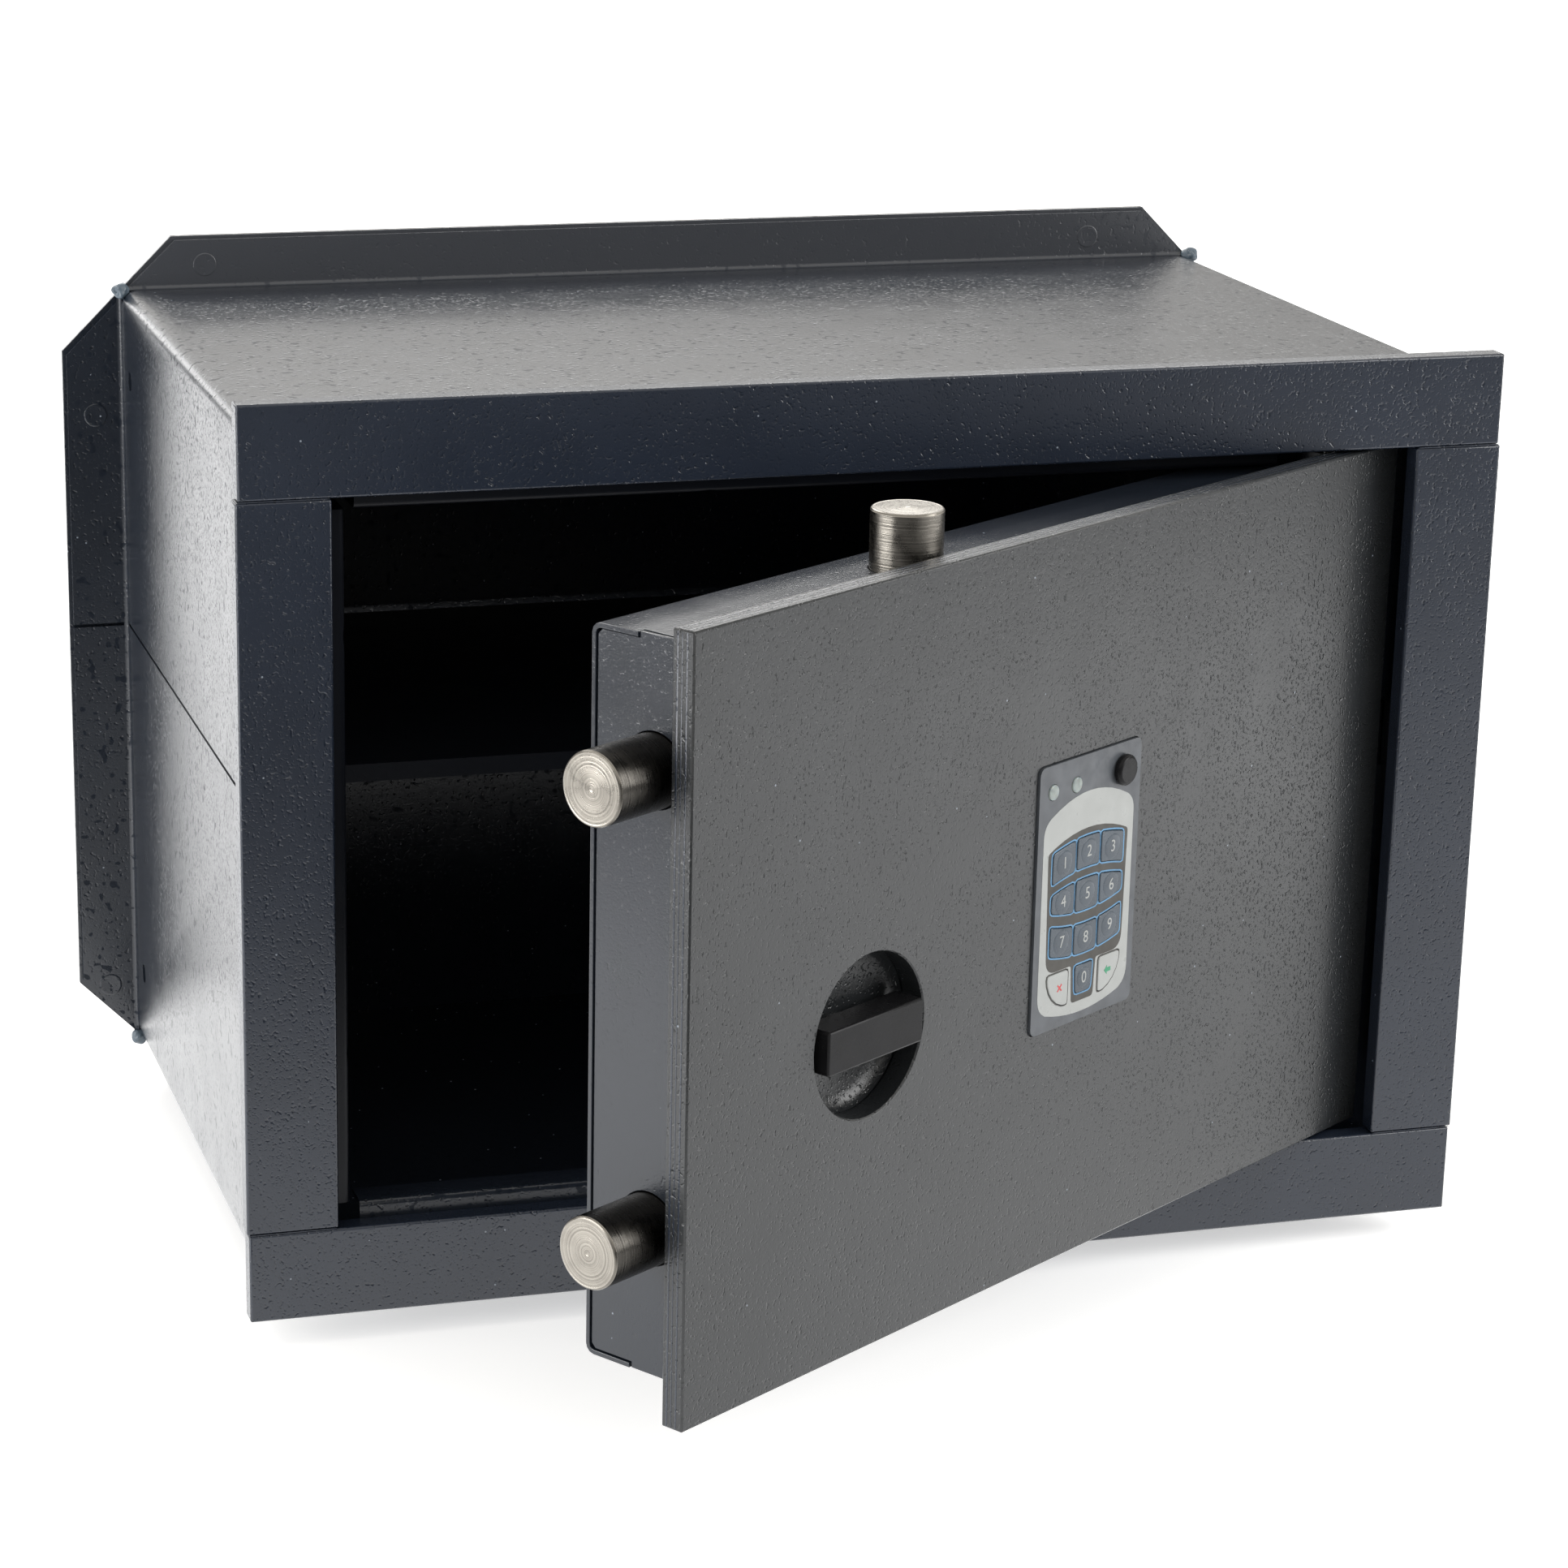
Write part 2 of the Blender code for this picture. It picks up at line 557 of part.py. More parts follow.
def lock_chassis(material, parent):
    """Folded base sheet behind the door plate, with the two side walls of the lock case."""
    base = DOOR_THICKNESS + GAP
    left = CASE_LEFT + 2 * GAP
    right = CASE_RIGHT - 2 * GAP
    wall_half = CASE_HALF_HEIGHT - CASE_SHEET - GAP
    low = (left, CASE_CENTRE_Z - wall_half)
    high = (right, CASE_CENTRE_Z + wall_half)
    cup = circle((KNOB_X, KNOB_Z), RECESS_RADIUS + CUP_WALL + PLAY, ROUND)
    cable = circle((KEYPAD_X, KEYPAD_Z), CHASSIS_CABLE_HOLE_RADIUS, 16)
    piece = slab("lock_chassis", "XZ", rectangle(low, high), base, base + CHASSIS_SHEET,
                 material, parent, [cup, cable])
    back = CASE_BACK - CASE_SHEET - GAP
    tab = CASE_HALF_HEIGHT
    profile = [(base, -wall_half), (TAB_FRONT, -wall_half), (TAB_FRONT, -tab), (TAB_BACK, -tab),
               (TAB_BACK, -wall_half), (back - CASE_SHEET, -wall_half), (back, CASE_SHEET - wall_half)]
    profile += [(y, -z) for y, z in reversed(profile)]
    outline = [(y, CASE_CENTRE_Z + z) for y, z in profile]
    walls = []
    for x in (left, right - CHASSIS_SHEET):
        walls.append(slab("tool", "YZ", outline, x, x + CHASSIS_SHEET, material, parent))
    combine(piece, walls, "UNION")
    drills = [rod_tool((1, 0, 0), (left, BOLT_DEPTH, z), BOLT_RADIUS + GAP, 6 * CHASSIS_SHEET,
                       material, parent, ROUND) for z in (UPPER_BOLT_Z, LOWER_BOLT_Z)]
    combine(piece, drills, "DIFFERENCE")


def rear_cover(material, parent):
    """The sheet wrapped over the top, back and bottom of the lock case."""
    front = DOOR_THICKNESS + GAP
    top = CASE_CENTRE_Z + CASE_HALF_HEIGHT
    bottom = CASE_CENTRE_Z - CASE_HALF_HEIGHT
    upper = arc((CASE_BACK - CASE_BEND, top - CASE_BEND), CASE_BEND, 90, 0, 3)
    lower = arc((CASE_BACK - CASE_BEND, bottom + CASE_BEND), CASE_BEND, 0, -90, 3)
    path = [(front, top), *upper, *lower, (front, bottom)]
    piece = slab("rear_cover", "YZ", folded_strip(path, CASE_SHEET), CASE_LEFT, CASE_RIGHT, material, parent)
    tools = [rod_tool((0, 0, 1), (TOP_BOLT_X, BOLT_DEPTH, top), BOLT_RADIUS + GAP, 6 * CASE_SHEET,
                      material, parent, ROUND)]
    for x in (CASE_LEFT, CASE_RIGHT):
        for z in (bottom, top):
            low = (x - TAB_NOTCH, TAB_FRONT - GAP, z - 3 * CASE_SHEET)
            high = (x + TAB_NOTCH, TAB_BACK + GAP, z + 3 * CASE_SHEET)
            tools.append(block("tool", low, high, material, parent))
    low = (BATTERY_X - BATTERY_LENGTH / 2, CASE_BACK - 4 * CASE_SHEET, BATTERY_Z - BATTERY_HEIGHT / 2)
    high = (BATTERY_X + BATTERY_LENGTH / 2, CASE_BACK + CASE_SHEET, BATTERY_Z + BATTERY_HEIGHT / 2)
    tools.append(block("tool", low, high, material, parent))
    combine(piece, tools, "DIFFERENCE")


def cover_screws(material, parent):
    """Two pan-head screws through the back of the cover."""
    for name, side in (("upper", 1), ("lower", -1)):
        start = CASE_BACK + GAP
        profile = [(SCREW_HEAD_RADIUS, start), (SCREW_HEAD_RADIUS, start + SCREW_HEAD_SIDE),
                   (SCREW_HEAD_RADIUS * 0.7, start + SCREW_HEAD_HEIGHT)]
        place_at = (SCREW_X, 0, CASE_CENTRE_Z + side * (CASE_HALF_HEIGHT - SCREW_INSET))
        turned("cover_screw_" + name, profile, (0, 1, 0), place_at, material, parent, SMALL_ROUND)


def bolts(material, parent):
    """Three round bolts with chamfered tips, modelled thrown."""
    profile = [(BOLT_RADIUS, 0), (BOLT_RADIUS, BOLT_LENGTH - BOLT_CHAMFER),
               (BOLT_RADIUS - BOLT_CHAMFER, BOLT_LENGTH)]
    left_root = LEFT_BOLT_TIP + BOLT_LENGTH
    turned("bolt_left_upper", profile, (-1, 0, 0), (left_root, BOLT_DEPTH, UPPER_BOLT_Z), material, parent)
    turned("bolt_left_lower", profile, (-1, 0, 0), (left_root, BOLT_DEPTH, LOWER_BOLT_Z), material, parent)
    top_root = TOP_BOLT_TIP - BOLT_LENGTH
    turned("bolt_top", profile, (0, 0, 1), (TOP_BOLT_X, BOLT_DEPTH, top_root), material, parent)


def bolt_guides(material, parent):
    """Upright plates on the chassis that the bolts slide through."""
    front = DOOR_THICKNESS + GAP + CHASSIS_SHEET + GAP
    back = BOLT_DEPTH + BOLT_RADIUS + GUIDE_MARGIN
    half = BOLT_RADIUS + GUIDE_MARGIN
    guide_x = LEFT_BOLT_TIP + BOLT_LENGTH - GUIDE_FROM_ROOT
    for name, z in (("bolt_guide_upper", UPPER_BOLT_Z), ("bolt_guide_lower", LOWER_BOLT_Z)):
        hole = circle((BOLT_DEPTH, z), BOLT_RADIUS + GAP, ROUND)
        outline = rectangle((front, z - half), (back, z + half))
        slab(name, "YZ", outline, guide_x, guide_x + GUIDE_THICKNESS, material, parent, [hole])
    guide_z = TOP_BOLT_TIP - BOLT_LENGTH + GUIDE_FROM_ROOT
    hole = circle((TOP_BOLT_X, BOLT_DEPTH), BOLT_RADIUS + GAP, ROUND)
    outline = rectangle((TOP_BOLT_X - half, front), (TOP_BOLT_X + half, back))
    slab("bolt_guide_top", "XY", outline, guide_z, guide_z + GUIDE_THICKNESS, material, parent, [hole])


def crank_radius(travel):
    """Crank radius whose quarter turn moves a yoke by the given travel."""
    return travel / (2 * sin(pi / 4))


def yoke_half_width(travel):
    """Half the slot that keeps a constant ratio possible: pin, sine error and play.

    The pin's sideways place is a sine of the knob's angle and the yoke's is proportional to it.
    They differ most where both move at the same rate, at the angle whose cosine is 2 sqrt(2) / pi.
    """
    swing = acos(2 * sqrt(2) / pi)
    error = crank_radius(travel) * sin(swing) - travel / (pi / 2) * swing
    return PIN_RADIUS + error + SLOT_PLAY


def bolt_carriage(material, parent):
    """Angle plate behind the two left bolts, with the yoke slot and the locking tooth.

    Returns the height of the tooth's top.
    """
    root = LEFT_BOLT_TIP + BOLT_LENGTH + GAP
    back = CARRIAGE_DEPTH + PLATE_STOCK
    low = (root, CARRIAGE_FRONT, LOWER_BOLT_Z - CARRIAGE_MARGIN)
    high = (root + PLATE_STOCK, back, UPPER_BOLT_Z + CARRIAGE_MARGIN)
    piece = block("bolt_carriage", low, high, material, parent)
    reach = crank_radius(LEFT_BOLT_TRAVEL)
    half = yoke_half_width(LEFT_BOLT_TRAVEL)
    slot_x = KNOB_X - LEFT_BOLT_TRAVEL / 2
    slot_low = KNOB_Z + LEFT_BOLT_TRAVEL / 2 - half
    slot_high = KNOB_Z + reach + half
    slot = rectangle((slot_x - half, slot_low), (slot_x + half, slot_high))
    arm_low = slot_low - ARM_MARGIN_LOW
    arm_high = slot_high + ARM_MARGIN_HIGH
    tooth_right = SOLENOID_X - PLUNGER_RADIUS - TOOTH_PLAY
    tooth_left = tooth_right - TOOTH_WIDTH
    tooth_top = arm_high + TOOTH_HEIGHT
    arm_right = slot_x + half + JAW_WIDTH
    arm = [(root + PLATE_STOCK / 2, arm_low), (arm_right, arm_low), (arm_right, arm_high),
           (tooth_right, arm_high), (tooth_right, tooth_top), (tooth_left, tooth_top),
           (tooth_left, arm_high), (root + PLATE_STOCK / 2, arm_high)]
    tool = slab("tool", "XZ", arm, CARRIAGE_DEPTH, back, material, parent, [slot])
    combine(piece, [tool], "UNION")
    return tooth_top


def top_bolt_link(material, parent):
    """Bent plate from the top bolt down to its crank pin, with a fork that straddles the pin."""
    root = TOP_BOLT_TIP - BOLT_LENGTH - GAP
    foot_low = (TOP_BOLT_X - LINK_FOOT_HALF_WIDTH, LINK_FOOT_FRONT, root - PLATE_STOCK)
    foot_high = (TOP_BOLT_X + LINK_FOOT_HALF_WIDTH, LINK_FOOT_BACK, root)
    piece = block("top_bolt_link", foot_low, foot_high, material, parent)
    half = yoke_half_width(TOP_BOLT_TRAVEL)
    pin_z = KNOB_Z + TOP_BOLT_TRAVEL / 2
    fork_left = KNOB_X + SPINDLE_RADIUS + PLAY
    fork_right = KNOB_X + crank_radius(TOP_BOLT_TRAVEL) + half
    jaw = half + JAW_WIDTH
    right = TOP_BOLT_X + LINK_STRIP_HALF_WIDTH
    left = TOP_BOLT_X - LINK_STRIP_HALF_WIDTH
    strip = [(left, root - PLATE_STOCK / 2), (left, pin_z + jaw), (fork_left, pin_z + jaw),
             (fork_left, pin_z + half), (fork_right, pin_z + half), (fork_right, pin_z - half),
             (fork_left, pin_z - half), (fork_left, pin_z - jaw), (right, pin_z - jaw),
             (right, root - PLATE_STOCK / 2)]
    tool = slab("tool", "XZ", strip, LINK_DEPTH, LINK_DEPTH + PLATE_STOCK, material, parent)
    combine(piece, [tool], "UNION")


def knob_works(black, zinc, pivot):
    """Everything that turns with the knob, measured from the knob's axis."""
    half_length = GRIP_LENGTH / 2
    half_height = GRIP_HEIGHT / 2
    back = DOOR_THICKNESS
    grip = rounded_rectangle((-half_length, -half_height), (half_length, half_height), GRIP_CORNER, 2)
    slab("knob_grip", "XZ", grip, -GRIP_PROUD, back, black, pivot)
    start = back + GAP
    end = CASE_BACK - CASE_SHEET - PLAY
    spindle = [(SPINDLE_RADIUS, start), (SPINDLE_RADIUS, end)]
    turned("knob_spindle", spindle, (0, 1, 0), (0, 0, 0), zinc, pivot, SMALL_ROUND)
    bore = SPINDLE_RADIUS + SPINDLE_PLAY
    disc = [(bore, DISC_DEPTH), (DISC_RADIUS, DISC_DEPTH), (DISC_RADIUS, DISC_DEPTH + DISC_THICKNESS),
            (bore, DISC_DEPTH + DISC_THICKNESS)]
    cam = turned("cam_disc", disc, (0, 1, 0), (0, 0, 0), zinc, pivot, closed=True)
    left = LEFT_BOLT_TRAVEL / 2
    top = TOP_BOLT_TRAVEL / 2
    middle = DISC_DEPTH + DISC_THICKNESS / 2
    rear_end = CARRIAGE_DEPTH + PLATE_STOCK + PLAY
    front_end = LINK_DEPTH - PLAY
    pins = []
    for x, z, finish in ((-left, left, rear_end), (top, top, front_end)):
        centre = (x, (middle + finish) / 2, z)
        length = abs(finish - middle)
        pins.append(rod_tool((0, 1, 0), centre, PIN_RADIUS, length, zinc, pivot))
    combine(cam, pins, "UNION")
    clip_start = DISC_DEPTH + DISC_THICKNESS + GAP
    clip = [(bore, clip_start), (bore + CLIP_WIDTH, clip_start),
            (bore + CLIP_WIDTH, clip_start + CLIP_THICKNESS), (bore, clip_start + CLIP_THICKNESS)]
    turned("spindle_clip", clip, (0, 1, 0), (0, 0, 0), zinc, pivot, SMALL_ROUND, True)


def solenoid(bronze, zinc, door, tooth_top):
    """Solenoid whose plunger drops beside the carriage's tooth to hold the bolts thrown."""
    tip = tooth_top + PLAY
    body_low = tip + PLUNGER_PROUD
    body_high = body_low + SOLENOID_LENGTH
    hole = circle((SOLENOID_X, SOLENOID_DEPTH), PLUNGER_RADIUS + GAP, SMALL_ROUND)
    outline = rectangle((SOLENOID_X - SOLENOID_HALF_WIDTH, SOLENOID_DEPTH - SOLENOID_HALF_WIDTH),
                        (SOLENOID_X + SOLENOID_HALF_WIDTH, SOLENOID_DEPTH + SOLENOID_HALF_WIDTH))
    slab("solenoid_body", "XY", outline, body_low, body_high, bronze, door, [hole])
    profile = [(PLUNGER_RADIUS - PLUNGER_CHAMFER, tip), (PLUNGER_RADIUS, tip + PLUNGER_CHAMFER),
               (PLUNGER_RADIUS, body_high + PLUNGER_TOP)]
    turned("solenoid_plunger", profile, (0, 0, 1), (SOLENOID_X, SOLENOID_DEPTH, 0), zinc, door, SMALL_ROUND)


def key_edge(level, bend, x):
    """Height of a curved key edge above the keypad's middle."""
    return level + bend * KEY_ROW_CURVE * x * x


def number_key_outline(row, column, shrink):
    """A key bounded by two curved row edges and two upright sides."""
    top, bottom, top_bend, bottom_bend = KEY_ROWS[row]
    half = KEY_PITCH / 2 - shrink
    middle = (column - 1) * KEY_PITCH
    xs = [middle - half + 2 * half * i / 6 for i in range(7)]
    upper = [(x, key_edge(top, top_bend, x) - shrink) for x in xs]
    lower = [(x, key_edge(bottom, bottom_bend, x) + shrink) for x in reversed(xs)]
    return round_corners(upper + lower, KEY_CORNER)


def round_corners(points, radius):
    """Cut every sharp corner of an outline with a short three-point curve."""
    vectors = [Vector(p) for p in points]
    rounded = []
    for i, corner in enumerate(vectors):
        before = vectors[i - 1] - corner
        after = vectors[(i + 1) % len(vectors)] - corner
        if before.angle(after) > radians(150):
            rounded.append(tuple(corner))
            continue
        start = corner + before.normalized() * min(radius, before.length * 0.45)
        end = corner + after.normalized() * min(radius, after.length * 0.45)
        middle = (start + end + 2 * corner) / 4
        rounded += [tuple(start), tuple(middle), tuple(end)]
    return rounded


def zero_key_outline(shrink):
    """The 0 key: a short tab that narrows slightly downwards."""
    top, bottom, wide, narrow = -24.6 * MM, -34.6 * MM, 5.2 * MM, 4.5 * MM
    points = [(-wide + shrink, top - shrink), (wide - shrink, top - shrink),
              (narrow - shrink, bottom + shrink), (-narrow + shrink, bottom + shrink)]
    return round_corners(points, KEY_CORNER)


def wing_key_outline(hand, shrink):
    """The clear and enter keys: a quarter-round leaf on either side of the 0 key."""
    inner = 7.6 * MM + shrink
    outer = 19.6 * MM - shrink
    top = -24.6 * MM - shrink
    bottom = -37 * MM + shrink
    sweep = arc((inner, top), 1, 0, -90, 6)
    curve = [(inner + (x - inner) * (outer - inner), top + (z - top) * (top - bottom)) for x, z in sweep]
    points = [(inner, top), *curve]
    return round_corners([(hand * x, z) for x, z in points], KEY_CORNER)


def key_outlines(shrink):
    """Name and outline of all twelve keys."""
    keys = [(str(1 + column + 3 * row), number_key_outline(row, column, shrink))
            for row in range(3) for column in range(3)]
    keys.append(("0", zero_key_outline(shrink)))
    keys.append(("clear", wing_key_outline(-1, shrink)))
    keys.append(("enter", wing_key_outline(1, shrink)))
    return keys


def keypad(paints, door):
    """Keypad housing with a well for each key, twelve keys, two lamps and the socket cap."""
    front = -KEYPAD_THICKNESS
    half_width = KEYPAD_WIDTH / 2
    half_height = KEYPAD_HEIGHT / 2
    pad = add_empty("keypad_middle", door, (KEYPAD_X, KEYPAD_SINK, KEYPAD_Z))
    outline = rounded_rectangle((-half_width, -half_height), (half_width, half_height), KEYPAD_CORNER)
    housing = slab("keypad_housing", "XZ", outline, front, -GAP, paints["grey"], pad)
    floor = front + KEY_WELL
    wells = [slab("tool", "XZ", shape, front - KEY_WELL, floor, paints["grey"], pad)
             for _, shape in key_outlines(KEY_WELL_SHRINK)]
    for x, radius in ((LAMP_XS[0], LAMP_RADIUS), (LAMP_XS[1], LAMP_RADIUS), (CAP_X, CAP_STEM_RADIUS)):
        wells.append(rod_tool((0, 1, 0), (x, front, LAMP_Z), radius + GAP / 2, 2 * KEY_WELL,
                              paints["grey"], pad))
    combine(housing, wells, "DIFFERENCE")
    top = front - KEY_PROUD
    for name, shape in key_outlines(KEY_SHRINK):
        finish = paints["white_key"] if name in ("clear", "enter") else paints["key"]
        slab("key_" + name, "XZ", shape, top, top + KEY_HEIGHT, finish, pad)
    for name, x in zip(("lamp_left", "lamp_right"), LAMP_XS):
        profile = [(LAMP_RADIUS, -LAMP_STEM), (LAMP_RADIUS, LAMP_SIDE), (LAMP_TOP_RADIUS, LAMP_HEIGHT)]
        turned(name, profile, (0, -1, 0), (x, front, LAMP_Z), paints["lens"], pad, SMALL_ROUND)
    profile = [(CAP_STEM_RADIUS, -CAP_STEM), (CAP_STEM_RADIUS, GAP), (CAP_RADIUS, GAP),
               (CAP_RADIUS, CAP_SIDE), (CAP_RADIUS - CAP_CHAMFER, CAP_SIDE + CAP_CHAMFER)]
    turned("socket_cap", profile, (0, -1, 0), (CAP_X, front, LAMP_Z), paints["black"], pad, SMALL_ROUND)
    board = rounded_rectangle((KEYPAD_X - BOARD_HALF_WIDTH, KEYPAD_Z - BOARD_HALF_HEIGHT),
                              (KEYPAD_X + BOARD_HALF_WIDTH, KEYPAD_Z + BOARD_HALF_HEIGHT), BOARD_CORNER, 2)
    board_front = DOOR_THICKNESS + GAP + CHASSIS_SHEET + BOARD_STANDOFF
    slab("circuit_board", "XZ", board, board_front, board_front + BOARD_THICKNESS, paints["board"], door)


def battery_compartment(paints, door):
    """Open box behind the cover's window, the battery pack in it, and the hinged lid."""
    half_length = BATTERY_LENGTH / 2 - GAP
    half_height = BATTERY_HEIGHT / 2 - GAP
    back = CASE_BACK - GAP
    low = (BATTERY_X - half_length, BATTERY_FRONT, BATTERY_Z - half_height)
    high = (BATTERY_X + half_length, back, BATTERY_Z + half_height)
    box = block("battery_box", low, high, paints["black"], door)
    hollow_low = tuple(a + BATTERY_WALL for a in low)
    hollow_high = (high[0] - BATTERY_WALL, high[1] + BATTERY_WALL, high[2] - BATTERY_WALL)
    combine(box, [block("tool", hollow_low, hollow_high, paints["black"], door)], "DIFFERENCE")
    pack_low = (hollow_low[0] + PLAY, hollow_low[1] + GAP, hollow_low[2] + PLAY)
    pack_high = (hollow_high[0] - 4 * PLAY, back - 4 * PLAY, hollow_high[2] - PLAY)
    block("battery_pack", pack_low, pack_high, paints["battery"], door, bevel=PACK_EDGE)
    lid_low = BATTERY_Z - BATTERY_HEIGHT / 2 - LID_OVERLAP
    hinge = add_empty("battery_lid_hinge", door, (BATTERY_X, CASE_BACK + GAP + LID_THICKNESS, lid_low))
    half = BATTERY_LENGTH / 2 + LID_OVERLAP
    corners = ((-half, -LID_THICKNESS, 0), (half, 0, BATTERY_HEIGHT + 2 * LID_OVERLAP))
    block("battery_lid", *corners, paints["black"], hinge, bevel=BROKEN_EDGE)


def build():
    """Make the whole safe."""
    clear_scene()
    paints = make_materials()
    paint, zinc = paints["paint"], paints["zinc"]
    safe = add_empty("safe_front", None, (0, -TOTAL_DEPTH, 0))
    hinge_axis = add_empty("door_hinge_axis", safe, (HINGE_X, HINGE_DEPTH, 0), DOOR_OPEN_ANGLE)
    door = add_empty("door_front", hinge_axis, (-HINGE_X, -HINGE_DEPTH, 0))
    knob = add_empty("knob_axis", door, (KNOB_X, 0, KNOB_Z))
    shell("upper_shell", 1, SEAM_HEIGHT + SEAM_GAP / 2, paint, safe)
    shell("lower_shell", -1, SEAM_HEIGHT - SEAM_GAP / 2, paint, safe)
    back_panel(paint, safe)
    front_frame(paint, safe)
    keepers(paint, safe)
    seam_strips(paint, safe)
    shelf(paint, safe)
    hinges(zinc, paint, safe, door)
    door_plate(paint, door)
    knob_cup(paint, door)
    lock_chassis(paint, door)
    rear_cover(paint, door)
    cover_screws(zinc, door)
    bolts(paints["bolt"], door)
    bolt_guides(zinc, door)
    tooth_top = bolt_carriage(zinc, door)
    top_bolt_link(zinc, door)
    knob_works(paints["black"], zinc, knob)
    solenoid(paints["bronze"], zinc, door, tooth_top)
    keypad(paints, door)
    battery_compartment(paints, door)


build()
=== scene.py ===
"""The looks of a wall safe: powder paint, nickel bolts, printed keypad, welds, light and camera."""

import json
import random
from math import cos, pi, radians, sin

import bmesh
import bpy
from mathutils import Matrix, Vector


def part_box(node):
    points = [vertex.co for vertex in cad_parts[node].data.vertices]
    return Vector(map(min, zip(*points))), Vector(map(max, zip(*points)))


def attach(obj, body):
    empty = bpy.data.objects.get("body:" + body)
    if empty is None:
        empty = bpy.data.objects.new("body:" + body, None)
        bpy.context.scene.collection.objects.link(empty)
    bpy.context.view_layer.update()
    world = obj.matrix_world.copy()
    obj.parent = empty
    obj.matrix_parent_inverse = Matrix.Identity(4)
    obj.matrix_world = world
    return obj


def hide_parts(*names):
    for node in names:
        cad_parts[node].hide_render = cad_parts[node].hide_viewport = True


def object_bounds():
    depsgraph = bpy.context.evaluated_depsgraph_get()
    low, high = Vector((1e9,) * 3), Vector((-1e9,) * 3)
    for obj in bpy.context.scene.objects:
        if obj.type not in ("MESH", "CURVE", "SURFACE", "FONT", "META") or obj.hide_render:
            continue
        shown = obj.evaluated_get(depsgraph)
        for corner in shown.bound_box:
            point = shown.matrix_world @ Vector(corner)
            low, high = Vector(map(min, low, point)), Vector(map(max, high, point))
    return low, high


MM = 0.001

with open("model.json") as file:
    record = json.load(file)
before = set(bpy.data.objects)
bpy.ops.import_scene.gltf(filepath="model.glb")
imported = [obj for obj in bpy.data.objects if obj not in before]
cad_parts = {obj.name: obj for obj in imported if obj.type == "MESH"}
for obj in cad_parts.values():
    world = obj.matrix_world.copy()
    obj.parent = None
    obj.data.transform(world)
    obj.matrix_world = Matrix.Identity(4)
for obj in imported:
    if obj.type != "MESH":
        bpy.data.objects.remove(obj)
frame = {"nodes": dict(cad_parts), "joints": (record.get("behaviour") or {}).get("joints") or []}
cad_low, cad_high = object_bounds()
nodes = frame["nodes"]
joints = {joint["name"]: joint for joint in frame["joints"]}

# The door's own frame: as it lies when closed, x from the middle, y inwards from the frame's front.
FRONT_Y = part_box("frame_top_bar")[0].y
HINGE = Vector(joints["door_hinge"]["pos_m"])
OPEN_ANGLE = -radians(joints["door_hinge"]["range_deg"][0])
SWING = Matrix.Translation(HINGE) @ Matrix.Rotation(OPEN_ANGLE, 4, "Z") @ Matrix.Translation(-HINGE)
DOOR = SWING @ Matrix.Translation((0, FRONT_Y, 0))
DOOR_INVERSE = DOOR.inverted()

# The outer faces of the folded sheet. The shells' own boxes also hold the flanges.
WALL_OUTSIDE = 204.5 * MM
ROOF_OUTSIDE = 140.8 * MM
PANEL_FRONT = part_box("back_panel")[0].y
FLANGE_FRONT = PANEL_FRONT - 2.3 * MM


def door_box(node):
    """Lowest and highest corner of a door node in the door's own frame."""
    points = [DOOR_INVERSE @ v.co for v in nodes[node].data.vertices]
    low = Vector(min(p[i] for p in points) for i in range(3))
    high = Vector(max(p[i] for p in points) for i in range(3))
    return low, high


# ---------------------------------------------------------------- shader building blocks

class Nodes:
    """A node tree with a few short ways to add and join nodes."""

    def __init__(self, tree):
        self.tree = tree

    def add(self, kind, **settings):
        """Add a node and set its plain settings."""
        node = self.tree.nodes.new(kind)
        for key, value in settings.items():
            setattr(node, key, value)
        return node

    def feed(self, socket, value):
        """Give a socket a fixed value or the output of another node."""
        if isinstance(value, bpy.types.NodeSocket):
            self.tree.links.new(value, socket)
        elif isinstance(value, tuple) and len(value) == 3 and socket.type == "RGBA":
            socket.default_value = (*value, 1)
        else:
            socket.default_value = value

    def math(self, operation, a, b=0.0):
        """One step of arithmetic."""
        node = self.add("ShaderNodeMath", operation=operation)
        self.feed(node.inputs[0], a)
        self.feed(node.inputs[1], b)
        return node.outputs[0]

    def ramp(self, value, low, high, to_low=0.0, to_high=1.0):
        """Smoothly map low..high to to_low..to_high."""
        node = self.add("ShaderNodeMapRange", interpolation_type="SMOOTHSTEP")
        for i, item in enumerate((value, low, high, to_low, to_high)):
            self.feed(node.inputs[i], item)
        return node.outputs[0]

    def mix(self, factor, a, b):
        """Blend from colour a to colour b."""
        node = self.add("ShaderNodeMix", data_type="RGBA")
        self.feed(node.inputs[0], factor)
        self.feed(node.inputs[6], a)
        self.feed(node.inputs[7], b)
        return node.outputs[2]


